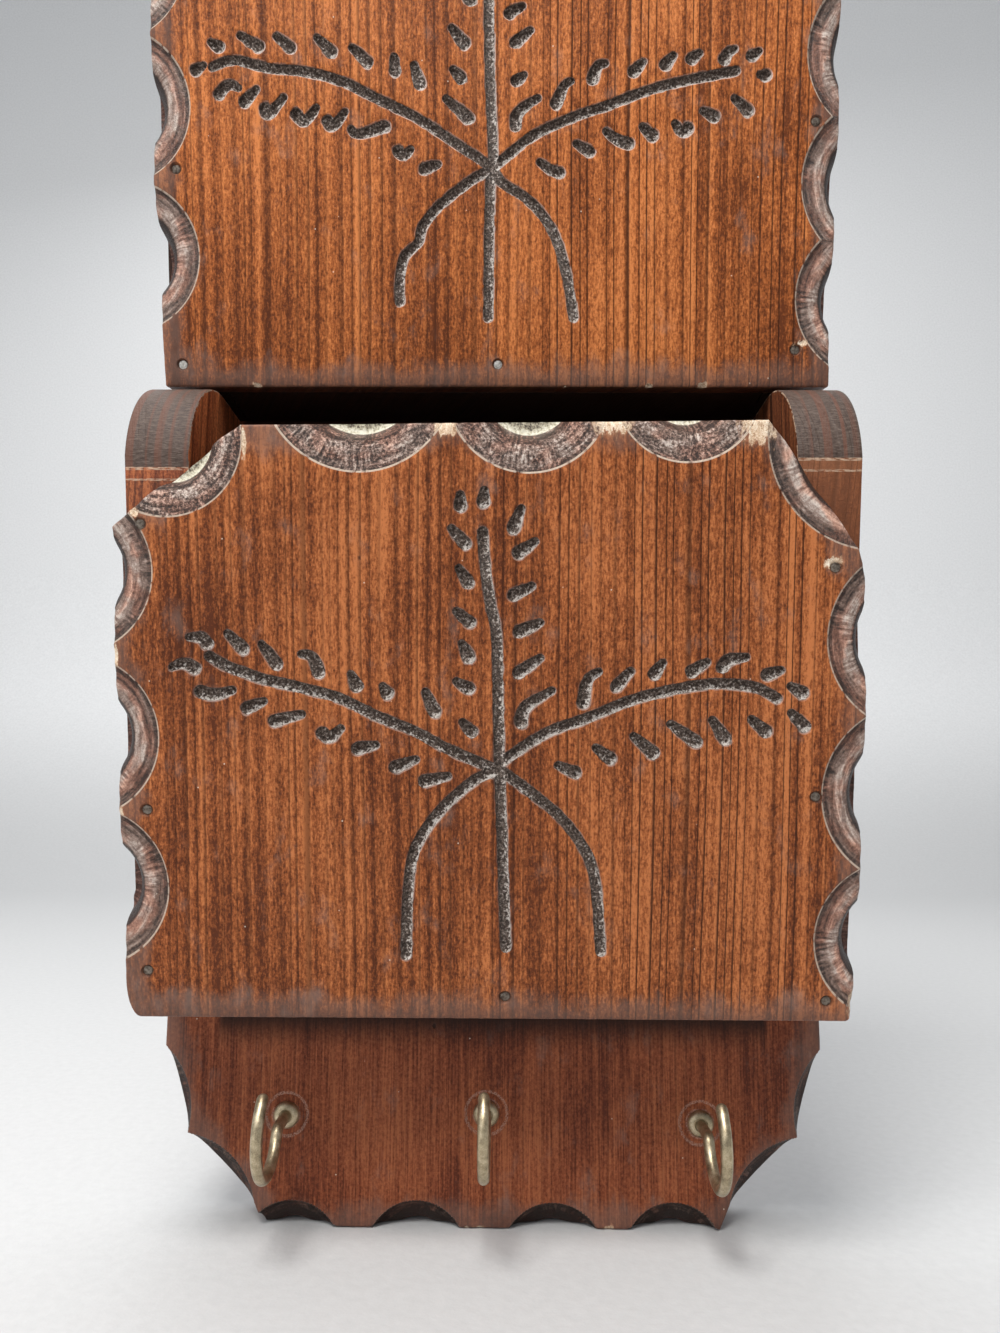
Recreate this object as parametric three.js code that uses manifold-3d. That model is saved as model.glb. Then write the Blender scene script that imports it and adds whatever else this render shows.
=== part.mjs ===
// Wall mail sorter in stained pine: a scalloped backboard with two wedge-shaped letter
// pockets, one above the other, and three brass cup hooks in the lip below them.
// Millimetres. X runs right, Y towards the wall, Z up. The origin is the middle of the
// backboard's rear face.

import * as THREE from 'three';
import { mergeVertices } from 'three/addons/utils/BufferGeometryUtils.js';
import Module from 'manifold-3d';

// Boards
const boardWidth = 217;
const boardThickness = 19;
const sideThickness = 19;
const panelOverhang = 1;
const panelWidth = boardWidth + 2 * panelOverhang;
const panelLength = 174;
const panelThickness = 9.5;
const floorThickness = 12.7;
const glueGap = 0.3;

// Pockets, measured up from the backboard's bottom edge
const lowerPocketHeight = 75;
const pocketSpacing = 3.4;
const crestHeight = 63.6;
const pocketDepthAtFloor = 25.3;
const panelSlope = THREE.MathUtils.degToRad(12.14);
const sideHeight = 194;
const sideRoundRadius = 31;
const upperPocketHeight = lowerPocketHeight + sideHeight + pocketSpacing;
const boardHeight = upperPocketHeight + sideHeight + crestHeight;

// Backboard outline: the cut corners of the lip, and the crest that mirrors it
const lipCornerHeight = 56;
const lipKneeInset = 8.5;
const lipKneeHeight = 28.5;
const lipFootInset = 31.5;
const lipFootHeight = 6.5;
const lipFootRun = 3;
const lipCornerRadius = 27;
const hangingHoleDiameter = 10;
const hangingHoleDrop = 26;

// Scallops: each is a moulding cut round a centre that lies outside the edge, given as
// [distance in from its arris, depth] down to the flat floor
const panelMoulding = [[0, 0.5], [5, 0.8], [7.7, 1.8], [8.8, 3.1], [9.7, 4.9], [10.2, 6.6], [10.5, 8.5]];
const lipMoulding = [[0, 0], [0.7, 2.5], [2.5, 4.3], [5, 5], [6.3, 5.5], [7.25, 7], [7.6, 9]];
const scallopSegments = 40;
const holeSegments = 24;
const cutterOverrun = 3;
const arcSegments = 8;

// Each scallop is [place along its edge, reach into the board, radius]
const lipScallops = [[-65, 8, 16.5], [-24.4, 8.2, 16.5], [20, 7.8, 17], [59, 8.2, 16]];
const topScallops = [[-38, 13.2, 27.7], [10.6, 13.4, 23.5], [55.6, 10.4, 21]];
const lowerPanel = {
  left: [[39.6, 14.4, 24.3], [84.4, 12.6, 24.3], [panelLength - 42.1, 11.9, 24.3]],
  right: [[24.8, 14.2, 24.3], [68.5, 13.2, 27], [panelLength - 60, 12.9, 27]],
  feet: { left: 6, right: 2 },
};
const upperPanel = {
  left: [[41.2, 14.5, 24], [87.5, 12.5, 24.3], [panelLength - 42.5, 11.9, 24.3]],
  right: [[28.2, 12.8, 25.4], [64, 11.8, 27], [panelLength - 70.3, 11, 27]],
  feet: { left: 0.8, right: 0.8 },
};

// Cut top corners of a front panel: run along the top edge and drop to a worn tip, which
// stands in from the side edge by wear and runs down to it over taper
const leftCorner = { run: 38, drop: 23.7, wear: 6.3, taper: 5, radius: 22.2 };
const rightCorner = { run: 31, drop: 34.6, wear: 4.5, taper: 8, radius: 32.5 };

// The top edge of a front panel climbs to the right
const topRise = 1.6;

// Brads through a front panel: [distance in from the side's outer face, height up the panel],
// and for the floor board [distance from the centre line, height up the panel]
const lowerBrads = {
  left: [[6.5, 14.2], [7.5, 62.8], [7.7, panelLength - 28]],
  right: [[9, 6.2], [13.9, 67.6], [10.1, panelLength - 39.9]],
  floor: [[4.3, 6.9]],
};
const upperBrads = {
  left: [[7.3, 7.1], [6.5, 68.4], [7.7, panelLength - 27]],
  right: [[11.4, 12], [6.7, 82.7], [10.1, panelLength - 39.9]],
  floor: [[1.2, 7.2]],
};
const bradLength = 25;
const bradDiameter = 1.6;
const bradHeadDiameter = 2.8;
const bradHeadThickness = 0.6;

// Nails through the backboard, as heights above a pocket's underside
const sideNailHeights = [30, 95, 160];
const floorNailOffset = 45;
const nailLength = 38;
const nailDiameter = 2.2;
const nailHeadDiameter = 4.6;
const nailHeadThickness = 0.9;
const headSink = 0.3;
const nailClearance = 0.25;
const nailSides = 8;

// Cup hooks: [name, x, height of the screw above the backboard's bottom edge]
const leftHookInset = 41.1;
const rightHookInset = 40.2;
const hooks = [
  ['left', leftHookInset - boardWidth / 2, 34.7],
  ['middle', -1.8, 35.5],
  ['right', boardWidth / 2 - rightHookInset, 32.9],
];
const hookWireDiameter = 3.6;
const hookLoopRadius = 13.3;
const hookLoopReach = 26;
const hookLoopRise = 3.6;
const hookBendRadius = 3;
const hookTipAngle = THREE.MathUtils.degToRad(117);
const hookScrewDepth = 13;
const hookScrewDiameter = 3;
const hookScrewPoint = 4;
const hookSteps = 36;
const hookSides = 10;
const collarDiameter = 8.6;
const collarThickness = 2.4;
const collarClearance = 0.25;
const screwClearance = 0.3;

const stainedPine = new THREE.MeshStandardMaterial({ color: 0x6f2f14, roughness: 0.5, metalness: 0 });
const darkPine = new THREE.MeshStandardMaterial({ color: 0x4a2214, roughness: 0.6, metalness: 0 });
const agedBrass = new THREE.MeshStandardMaterial({ color: 0x9a8a5c, roughness: 0.4, metalness: 0.9 });
const oldSteel = new THREE.MeshStandardMaterial({ color: 0x6a625a, roughness: 0.5, metalness: 0.8 });

const wasm = await Module();
wasm.setup();

function solidOf(geometry) {
  const bare = new THREE.BufferGeometry();
  bare.setAttribute('position', geometry.getAttribute('position'));
  bare.setIndex(geometry.getIndex());
  const merged = mergeVertices(bare, 1e-4);
  return new wasm.Manifold(new wasm.Mesh({
    numProp: 3,
    vertProperties: new Float32Array(merged.getAttribute('position').array),
    triVerts: new Uint32Array(merged.getIndex().array),
  }));
}

function geometryOf(solid) {
  const mesh = solid.getMesh();
  const geometry = new THREE.BufferGeometry();
  geometry.setAttribute('position', new THREE.BufferAttribute(mesh.vertProperties, 3));
  geometry.setIndex(new THREE.BufferAttribute(mesh.triVerts, 1));
  geometry.computeVertexNormals();
  return geometry;
}

function cutAway(blank, cutters) {
  let solid = solidOf(blank);
  for (const cutter of cutters) {
    solid = solid.subtract(solidOf(cutter));
  }
  return geometryOf(solid);
}

// A board lies in the XZ plane with its rear face at y = 0 and its front at -thickness.
function boardFrom(shape, thickness) {
  const blank = new THREE.ExtrudeGeometry(shape, {
    depth: thickness,
    bevelEnabled: false,
    curveSegments: arcSegments,
  });
  return blank.rotateX(Math.PI / 2);
}

// Cutter standing on a board's front face: the moulding as a ring round a flat floor.
function scallopCutter(centre, radius, thickness, moulding) {
  const outline = [new THREE.Vector2(0, -thickness - cutterOverrun)];
  outline.push(new THREE.Vector2(radius, -thickness - cutterOverrun));
  for (const [distance, depth] of moulding) {
    outline.push(new THREE.Vector2(radius - distance, -thickness + depth));
  }
  const floorDepth = moulding[moulding.length - 1][1];
  outline.push(new THREE.Vector2(0, -thickness + floorDepth));
  return new THREE.LatheGeometry(outline, scallopSegments).translate(centre.x, 0, centre.y);
}

// Centre of a scallop whose arris meets both ends of a straight edge, taken clockwise.
function chordCentre(from, to, radius) {
  const half = from.distanceTo(to) / 2;
  const outward = new THREE.Vector2(from.y - to.y, to.x - from.x).normalize();
  const stand = Math.sqrt(radius ** 2 - half ** 2);
  return from.clone().add(to).multiplyScalar(0.5).addScaledVector(outward, stand);
}

// Nail or brad with its head at y = 0 and its point down the Y axis; grow makes its hole.
function nailShape(size, grow, headroom) {
  const shank = size.diameter / 2 + grow;
  const head = size.headDiameter / 2 + grow;
  const underHead = -size.headThickness - grow;
  const point = -size.length - grow;
  return new THREE.LatheGeometry([
    new THREE.Vector2(0, point),
    new THREE.Vector2(shank, point + size.diameter),
    new THREE.Vector2(shank, underHead),
    new THREE.Vector2(head, underHead),
    new THREE.Vector2(head, headroom),
    new THREE.Vector2(0, headroom),
  ], nailSides);
}

const bradSize = {
  length: bradLength,
  diameter: bradDiameter,
  headDiameter: bradHeadDiameter,
  headThickness: bradHeadThickness,
};
const nailSize = {
  length: nailLength,
  diameter: nailDiameter,
  headDiameter: nailHeadDiameter,
  headThickness: nailHeadThickness,
};

const part = new THREE.Group();
part.position.z = -boardHeight / 2;

function addPiece(name, geometry, material, matrix = new THREE.Matrix4()) {
  const piece = new THREE.Mesh(geometry, material);
  piece.name = name;
  piece.applyMatrix4(matrix);
  part.add(piece);
}

// Backboard

function backboardShape() {
  const half = boardWidth / 2;
  const quarter = [
    new THREE.Vector2(half - lipFootInset - lipFootRun, 0),
    new THREE.Vector2(half - lipFootInset, lipFootHeight),
    new THREE.Vector2(half - lipKneeInset, lipKneeHeight),
    new THREE.Vector2(half, lipCornerHeight),
  ];
  const rightSide = [...quarter];
  for (const point of [...quarter].reverse()) {
    rightSide.push(new THREE.Vector2(point.x, boardHeight - point.y));
  }
  const leftSide = [...rightSide].reverse().map((point) => new THREE.Vector2(-point.x, point.y));
  return { shape: new THREE.Shape([...rightSide, ...leftSide]), quarter };
}

function backboardScallops(quarter) {
  const [, foot, knee, corner] = quarter;
  const scallops = lipScallops.map(([x, reach, radius]) => [x, reach - radius, radius]);
  for (const [start, end] of [[knee, foot], [corner, knee]]) {
    const { x, y } = chordCentre(start, end, lipCornerRadius);
    scallops.push([x, y, lipCornerRadius], [-x, y, lipCornerRadius]);
  }
  const cutters = [];
  for (const [x, z, radius] of scallops) {
    for (const height of [z, boardHeight - z]) {
      const centre = new THREE.Vector2(x, height);
      cutters.push(scallopCutter(centre, radius, boardThickness, lipMoulding));
    }
  }
  return cutters;
}

function hookScrewHole(x, z) {
  const radius = hookScrewDiameter / 2 + screwClearance;
  const depth = hookScrewDepth + screwClearance;
  const mouth = hookWireDiameter / 2 + screwClearance;
  const hole = new THREE.LatheGeometry([
    new THREE.Vector2(0, -cutterOverrun),
    new THREE.Vector2(mouth, -cutterOverrun),
    new THREE.Vector2(mouth, screwClearance),
    new THREE.Vector2(radius, screwClearance),
    new THREE.Vector2(radius, depth),
    new THREE.Vector2(0, depth),
  ], hookSides);
  return hole.translate(x, -boardThickness, z);
}

function hangingHole() {
  const depth = boardThickness + 2 * cutterOverrun;
  const radius = hangingHoleDiameter / 2;
  const hole = new THREE.CylinderGeometry(radius, radius, depth, holeSegments);
  return hole.translate(0, -boardThickness / 2, boardHeight - hangingHoleDrop);
}

// Pockets

function sideShape() {
  const roundStart = sideHeight - sideRoundRadius;
  const frontAtRound = pocketDepthAtFloor + roundStart * Math.tan(panelSlope);
  const shape = new THREE.Shape();
  shape.moveTo(glueGap, 0);
  shape.lineTo(pocketDepthAtFloor, 0);
  shape.lineTo(frontAtRound, roundStart);
  const roundCentre = frontAtRound - sideRoundRadius;
  shape.absarc(roundCentre, roundStart, sideRoundRadius, 0, Math.PI / 2, false);
  shape.lineTo(glueGap, sideHeight);
  return shape;
}

// A side's outline is drawn with its depth along X, then turned so that depth runs to -Y.
function sideBlank(centreX, z) {
  const blank = new THREE.ExtrudeGeometry(sideShape(), {
    depth: sideThickness,
    bevelEnabled: false,
    curveSegments: 2 * arcSegments,
  });
  blank.rotateX(Math.PI / 2);
  blank.rotateZ(-Math.PI / 2);
  return blank.translate(centreX + sideThickness / 2, -boardThickness, z);
}

function floorBlank(z) {
  const width = boardWidth - 2 * sideThickness - 2 * glueGap;
  const frontAtTop = pocketDepthAtFloor + floorThickness * Math.tan(panelSlope);
  const shape = new THREE.Shape();
  shape.moveTo(glueGap, 0);
  shape.lineTo(pocketDepthAtFloor, 0);
  shape.lineTo(frontAtTop, floorThickness);
  shape.lineTo(glueGap, floorThickness);
  const blank = new THREE.ExtrudeGeometry(shape, { depth: width, bevelEnabled: false });
  blank.rotateX(Math.PI / 2);
  blank.rotateZ(-Math.PI / 2);
  return blank.translate(width / 2, -boardThickness, z);
}

// A front panel is drawn upright: x across, z up the panel, rear face at y = 0.
// The points of its cut corners, from the left one's tip clockwise to the right one's.
function cornerPoints() {
  const half = panelWidth / 2;
  return {
    leftTip: new THREE.Vector2(-half + leftCorner.wear, panelLength - leftCorner.drop),
    leftTop: new THREE.Vector2(-half + leftCorner.run, panelLength),
    rightTop: new THREE.Vector2(half - rightCorner.run, panelLength + topRise),
    rightTip: new THREE.Vector2(half - rightCorner.wear, panelLength - rightCorner.drop),
  };
}

function panelOutline({ left, right }) {
  const half = panelWidth / 2;
  const { leftTip, leftTop, rightTop, rightTip } = cornerPoints();
  const shape = new THREE.Shape();
  shape.moveTo(-half + left, 0);
  shape.lineTo(half - right, 0);
  shape.absarc(half - right, right, right, -Math.PI / 2, 0, false);
  shape.lineTo(half, rightTip.y - rightCorner.taper);
  shape.lineTo(rightTip.x, rightTip.y);
  shape.lineTo(rightTop.x, rightTop.y);
  shape.lineTo(leftTop.x, leftTop.y);
  shape.lineTo(leftTip.x, leftTip.y);
  shape.lineTo(-half, leftTip.y - leftCorner.taper);
  shape.lineTo(-half, left);
  shape.absarc(-half + left, left, left, Math.PI, 1.5 * Math.PI, false);
  return shape;
}

function panelScallops(scallops) {
  const half = panelWidth / 2;
  const { leftTip, leftTop, rightTop, rightTip } = cornerPoints();
  const cuts = [
    [chordCentre(leftTip, leftTop, leftCorner.radius), leftCorner.radius],
    [chordCentre(rightTop, rightTip, rightCorner.radius), rightCorner.radius],
  ];
  for (const [height, reach, radius] of scallops.left) {
    cuts.push([new THREE.Vector2(-half - radius + reach, height), radius]);
  }
  for (const [height, reach, radius] of scallops.right) {
    cuts.push([new THREE.Vector2(half + radius - reach, height), radius]);
  }
  for (const [x, reach, radius] of topScallops) {
    cuts.push([new THREE.Vector2(x, panelLength + radius - reach), radius]);
  }
  return cuts.map(([centre, radius]) => scallopCutter(centre, radius, panelThickness, panelMoulding));
}

// Places upright panel coordinates on a pocket's sloping front.
function panelPlace(z) {
  const matrix = new THREE.Matrix4().makeRotationX(panelSlope);
  const lift = glueGap * Math.cos(panelSlope);
  matrix.setPosition(0, -boardThickness - pocketDepthAtFloor - lift, z - glueGap * Math.sin(panelSlope));
  return matrix;
}

function bradPlace(x, height, panelMatrix) {
  const inPanel = new THREE.Matrix4().makeRotationX(Math.PI);
  inPanel.setPosition(x, -panelThickness + headSink, height);
  return new THREE.Matrix4().multiplyMatrices(panelMatrix, inPanel);
}

function nailPlace(x, z) {
  return new THREE.Matrix4().makeTranslation(x, -headSink, z);
}

function holeAt(size, matrix) {
  return nailShape(size, nailClearance, cutterOverrun).applyMatrix4(matrix);
}

function addPocket(level, z, scallops, brads) {
  const panelMatrix = panelPlace(z);
  const uprightAgain = panelMatrix.clone().invert();
  const sideCentre = (boardWidth - sideThickness) / 2;
  const panelHoles = [];
  const boardHoles = [];

  function addBrads(label, places) {
    const holes = [];
    places.forEach(([x, height], index) => {
      const matrix = bradPlace(x, height, panelMatrix);
      const name = places.length > 1 ? `${label}_${index + 1}` : label;
      addPiece(`${level}_${name}`, nailShape(bradSize, 0, 0), oldSteel, matrix);
      holes.push(holeAt(bradSize, matrix));
      panelHoles.push(holeAt(bradSize, matrix).applyMatrix4(uprightAgain));
    });
    return holes;
  }

  function addNails(label, places) {
    const holes = [];
    places.forEach(([x, height], index) => {
      const matrix = nailPlace(x, height);
      addPiece(`${level}_${label}_${index + 1}`, nailShape(nailSize, 0, 0), oldSteel, matrix);
      holes.push(holeAt(nailSize, matrix));
      boardHoles.push(holeAt(nailSize, matrix));
    });
    return holes;
  }

  for (const [hand, sign] of [['left', -1], ['right', 1]]) {
    const x = sign * sideCentre;
    const bradPlaces = brads[hand].map(([inset, height]) => [sign * (boardWidth / 2 - inset), height]);
    const holes = addBrads(`front_brad_${hand}`, bradPlaces);
    const nailPlaces = sideNailHeights.map((height) => [x, z + height]);
    holes.push(...addNails(`back_nail_${hand}`, nailPlaces));
    addPiece(`${level}_${hand}_side`, cutAway(sideBlank(x, z), holes), darkPine);
  }

  const floorHoles = addBrads('front_brad_floor', brads.floor);
  const floorNailHeight = z + floorThickness / 2;
  const floorNails = [[-floorNailOffset, floorNailHeight], [floorNailOffset, floorNailHeight]];
  floorHoles.push(...addNails('back_nail_floor', floorNails));
  addPiece(`${level}_floor_board`, cutAway(floorBlank(z), floorHoles), darkPine);

  const panelBlank = boardFrom(panelOutline(scallops.feet), panelThickness);
  const panelCutters = [...panelScallops(scallops), ...panelHoles];
  addPiece(`${level}_front_panel`, cutAway(panelBlank, panelCutters), stainedPine, panelMatrix);
  return boardHoles;
}

// Cup hooks

// Wire line of a hook: out of the board, down through a tight bend, and round the open loop.
class HookLine extends THREE.Curve {
  constructor(x, z) {
    super();
    const rise = hookLoopRise + hookBendRadius;
    const run = Math.sqrt((hookLoopRadius + hookBendRadius) ** 2 - rise ** 2);
    this.x = x;
    this.z = z;
    this.loopY = -boardThickness - hookLoopReach;
    this.loopZ = z + hookLoopRise;
    this.bendY = this.loopY + run;
    this.bendZ = z - hookBendRadius;
    this.bendSweep = Math.PI / 2 - Math.atan2(rise, run);
    this.loopStart = -Math.atan2(rise, run);
    this.loopSweep = 2 * Math.PI - hookTipAngle + this.loopStart;
    this.stemLength = -boardThickness - screwClearance - this.bendY;
    this.bendLength = hookBendRadius * this.bendSweep;
    this.loopLength = hookLoopRadius * this.loopSweep;
  }

  getPoint(t) {
    let along = t * (this.stemLength + this.bendLength + this.loopLength);
    if (along <= this.stemLength) {
      return new THREE.Vector3(this.x, this.bendY + this.stemLength - along, this.z);
    }
    along -= this.stemLength;
    if (along <= this.bendLength) {
      const angle = Math.PI / 2 + along / hookBendRadius;
      return this.onArc(this.bendY, this.bendZ, hookBendRadius, angle);
    }
    along -= this.bendLength;
    return this.onArc(this.loopY, this.loopZ, hookLoopRadius, this.loopStart - along / hookLoopRadius);
  }

  onArc(y, z, radius, angle) {
    return new THREE.Vector3(this.x, y + radius * Math.cos(angle), z + radius * Math.sin(angle));
  }
}

function hookWire(x, z) {
  const section = new THREE.Shape();
  section.absarc(0, 0, hookWireDiameter / 2, 0, 2 * Math.PI, false);
  return new THREE.ExtrudeGeometry(section, {
    steps: hookSteps,
    curveSegments: hookSides / 2,
    bevelEnabled: false,
    extrudePath: new HookLine(x, z),
  });
}

function hookScrew(x, z) {
  const radius = hookScrewDiameter / 2;
  const screw = new THREE.LatheGeometry([
    new THREE.Vector2(0, -2 * screwClearance),
    new THREE.Vector2(radius, -2 * screwClearance),
    new THREE.Vector2(radius, hookScrewDepth - hookScrewPoint),
    new THREE.Vector2(0, hookScrewDepth),
  ], hookSides);
  return screw.translate(x, -boardThickness, z);
}

function hookCollar(x, z) {
  const inner = hookWireDiameter / 2 + collarClearance;
  const outer = collarDiameter / 2;
  const middle = (inner + outer) / 2;
  const collar = new THREE.LatheGeometry([
    new THREE.Vector2(inner, -collarThickness),
    new THREE.Vector2(middle, -collarThickness),
    new THREE.Vector2(outer, -collarThickness / 2),
    new THREE.Vector2(outer, 0),
    new THREE.Vector2(inner, 0),
    new THREE.Vector2(inner, -collarThickness),
  ], 2 * hookSides);
  return collar.translate(x, -boardThickness, z);
}

function addHook(name, x, z) {
  const wire = solidOf(hookWire(x, z)).add(solidOf(hookScrew(x, z)));
  addPiece(`cup_hook_${name}`, geometryOf(wire), agedBrass);
  addPiece(`hook_collar_${name}`, hookCollar(x, z), agedBrass);
}

const boardCutters = [hangingHole()];
boardCutters.push(...addPocket('lower', lowerPocketHeight, lowerPanel, lowerBrads));
boardCutters.push(...addPocket('upper', upperPocketHeight, upperPanel, upperBrads));
for (const [name, x, z] of hooks) {
  addHook(name, x, z);
  boardCutters.push(hookScrewHole(x, z));
}
const { shape: boardShape, quarter: boardQuarter } = backboardShape();
boardCutters.push(...backboardScallops(boardQuarter));
addPiece('backboard', cutAway(boardFrom(boardShape, boardThickness), boardCutters), stainedPine);

export default part;
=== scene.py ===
import math
from collections import namedtuple

import bmesh
import bpy
import numpy as np
from mathutils import Matrix, Vector
from mathutils.geometry import delaunay_2d_cdt


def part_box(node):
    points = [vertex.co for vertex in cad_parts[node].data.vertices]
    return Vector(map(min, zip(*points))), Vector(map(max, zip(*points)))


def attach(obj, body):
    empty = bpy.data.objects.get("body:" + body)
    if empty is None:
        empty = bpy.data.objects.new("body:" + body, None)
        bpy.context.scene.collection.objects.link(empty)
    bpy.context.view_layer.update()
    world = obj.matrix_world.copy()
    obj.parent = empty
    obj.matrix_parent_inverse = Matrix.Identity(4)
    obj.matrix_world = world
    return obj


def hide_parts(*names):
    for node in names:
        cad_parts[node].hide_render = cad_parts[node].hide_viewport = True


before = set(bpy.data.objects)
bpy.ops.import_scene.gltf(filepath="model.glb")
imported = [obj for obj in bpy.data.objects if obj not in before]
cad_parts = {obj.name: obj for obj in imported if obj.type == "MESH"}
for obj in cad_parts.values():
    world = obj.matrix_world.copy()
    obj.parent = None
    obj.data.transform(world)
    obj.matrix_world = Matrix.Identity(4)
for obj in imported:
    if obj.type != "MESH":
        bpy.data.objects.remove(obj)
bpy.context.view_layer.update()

MM = 0.001

# Boards, in millimetres, as the frame has them
PANEL_LENGTH = 174.0
PANEL_THICKNESS = 9.5
PANEL_HALF = 109.5
PANEL_SLOPE = math.radians(12.14)
BOARD_THICKNESS = 19.0
BOARD_HEIGHT = 530.0
SIDE_BOARD_GAP = 0.3
SIDE_ROUND_RADIUS = 31.0
POCKET_DEPTH_AT_FLOOR = 25.3
END_GRAIN_DROP = {"left": 34.6, "right": 31.6}
# Heights on the backboard between which painted shadow darkens it: inside the pockets and just under the
# lower panel
POCKET_SHADOW_HEIGHTS = (-198.5, 201.4)
HANGING_HOLE_RADIUS = 5.0
HANGING_HOLE_DROP = 26.0
HAIR = 0.05

# Cut top corners of the front panels: run along the top edge, drop to the worn tip, how far
# the tip stands in, the taper below it, and the radius of the scallop
LEFT_CORNER = (38.0, 23.7, 6.3, 5.0, 22.2)
RIGHT_CORNER = (31.0, 34.6, 4.5, 8.0, 32.5)

# How far the panels' top edge climbs to the right, and leans with depth, near its end
TOP_RISE = 1.6
TOP_LEAN = 0.16
TOP_LEAN_START = 16.0
TOP_LEAN_RUN = 14.0

# Mouldings, as (distance in from the arris, depth) down to the flat floor
PANEL_PROFILE = [(0, 0), (0.25, 0.5), (2.2, 1.0), (4.2, 0.85), (5.6, 0.95), (7.7, 1.9), (8.8, 3.2),
                 (9.7, 5.0), (10.2, 6.8), (10.6, 8.1), (11.3, 8.6), (12.5, 8.7)]
LIP_PROFILE = [(0, 0), (0.25, 1.3), (0.9, 2.6), (2.5, 4.2), (4.8, 5.0), (5.6, 5.2), (6.6, 5.9),
               (7.25, 7.2), (7.6, 9.0)]

# Scallops: place along the edge, reach into the board, radius
TOP_SCALLOPS = [(-38.0, 13.2, 27.7), (10.6, 13.4, 23.5), (55.6, 10.4, 21.0)]
LOWER_SIDES = {
    "left": [(39.6, 14.4, 24.3), (84.4, 12.6, 24.3), (132.6, 11.9, 24.3)],
    "right": [(24.8, 14.2, 24.3), (68.5, 13.2, 27.0), (114.0, 12.9, 27.0)],
}
UPPER_SIDES = {
    "left": [(41.2, 14.5, 24.0), (87.5, 12.5, 24.3), (131.5, 11.9, 24.3)],
    "right": [(28.2, 12.8, 25.4), (64.0, 11.8, 27.0), (103.7, 11.0, 27.0)],
}
LIP_SCALLOPS = [(-65.0, 8.0, 16.5), (-24.4, 8.2, 16.5), (20.0, 7.8, 17.0), (59.0, 8.2, 16.0)]
LIP_CORNER_RADIUS = 27.0
LIP_QUARTER = [(74.0, 0.0), (77.0, 6.5), (100.0, 28.5), (108.5, 56.0)]

# Rounding of a front panel's lower corners: across and up, at the left and at the right
LOWER_FEET = ((4.5, 12.0), (1.5, 2.0))
UPPER_FEET = ((0.7, 0.8), (0.7, 0.8))

# Worn side edges of the front panels: (height, how far the edge stands in)
LOWER_EDGES = {
    "left": [(0, 0.5), (14, 0.9), (34, 0.4), (36, 1.1), (48, 1.1), (50, 0.3), (62, 0.0), (174, 0.0)],
    "right": [(0, 2.6), (6, 2.0), (14, 1.3), (40, 0.8), (94, 0.7), (112, 0.9), (126, 2.0), (131.4, 2.2)],
}
UPPER_EDGES = {
    "left": [(0, 2.5), (18, 1.8), (31, 1.2), (35, 1.8), (41, 2.7), (48, 1.7), (52, 0.6), (64, 0.1),
             (174, 0.0)],
    "right": [(0, 1.2), (12, 1.2), (30, 0.9), (48, 0.5), (74, 0.0), (110, 0.4), (131.4, 0.6)],
}

# Carved sprigs, as lines up the panel (x, height up the panel)
STEM_WIDTH = 3.3
STEM_DEPTH = 1.3
LEAF_WIDTH = 3.5
LEAF_DEPTH = 1.3
LEAF_TRIM = 1.15
LOWER_STEMS = [
    [(-2.5, 144), (-2, 136), (-0.5, 124.5), (1.5, 114.5), (2, 97.5), (2.5, 77), (3.5, 48.5), (4.5, 22)],
    [(-81.5, 108), (-76, 105), (-66, 101.5), (-55, 99), (-44, 96), (-33.5, 91), (-22.5, 86.5),
     (-12, 81), (2, 75)],
    [(2, 76), (4.5, 78.5), (16, 86), (28, 90.5), (40, 95.5), (51, 98.5), (62.5, 100.5), (69.5, 100.5),
     (76.5, 99.5), (82.5, 96.5)],
    [(2, 75), (-4, 72.5), (-12, 66), (-19, 57.5), (-23, 49), (-24.5, 36.5), (-25, 19.5)],
    [(2, 75.5), (11, 69), (19.5, 62), (26, 54), (30, 45.5), (31.5, 35), (32.5, 21)],
]
LOWER_LEAVES = [
    [(-88.5, 113.5), (-84, 113.5), (-81.5, 111)], [(-77, 115.5), (-71, 109.5)],
    [(-67, 112.5), (-61.5, 105)], [(-56, 109), (-52, 108), (-49.5, 102.5)], [(-41, 104), (-38.5, 98.5)],
    [(-32, 100.5), (-29.5, 96.5)], [(-19.5, 99), (-16, 91)], [(-93.5, 104.5), (-89, 106), (-85, 104)],
    [(-85.5, 98), (-80, 97), (-74, 98.5)], [(-72, 92.5), (-65, 95.5)], [(-64, 89), (-54, 91.5)],
    [(-50, 86.5), (-47, 84.5), (-43, 88)], [(-40, 81), (-32.5, 82.5)], [(-29, 75.5), (-21, 78.5)],
    [(-20.5, 71.5), (-11.5, 73.5)], [(-8.9, 155.6), (-8.9, 150.2)], [(-2.1, 156.8), (-2.4, 151.4)],
    [(-12.2, 145.8), (-6.8, 139.8)], [(-10, 134.5), (-6, 128.5)], [(-11, 122), (-5.5, 117.5)],
    [(-9, 113), (-6, 107)], [(-11, 101.5), (-5.5, 98.5)], [(-9, 90), (-5, 85.5)],
    [(8.9, 151.7), (5.9, 144)], [(13.4, 141.9), (6.8, 137.4)], [(5.4, 125.5), (12.5, 129)],
    [(7, 115), (15, 118.5)], [(7, 103), (15, 108.5)], [(8.5, 88), (10, 93.5), (18.5, 99)],
    [(26.5, 94), (28, 101.5), (32, 104.5)], [(35.5, 99), (41, 105)], [(46.5, 102.5), (50, 107.5)],
    [(57, 103.5), (63, 107.5)], [(66, 104.5), (68.5, 107.5), (74.5, 108.5)], [(78.5, 103), (84.5, 105)],
    [(85.5, 100.5), (91, 97.5)], [(18.5, 77), (25.5, 74)], [(29.5, 82.5), (35.5, 78)],
    [(40.5, 86), (48, 79.5)], [(51, 89.5), (60.5, 83)], [(63.5, 91), (68.5, 83.5)],
    [(74.5, 91), (80.5, 86)], [(86, 93), (91.5, 87.5)],
]
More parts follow.
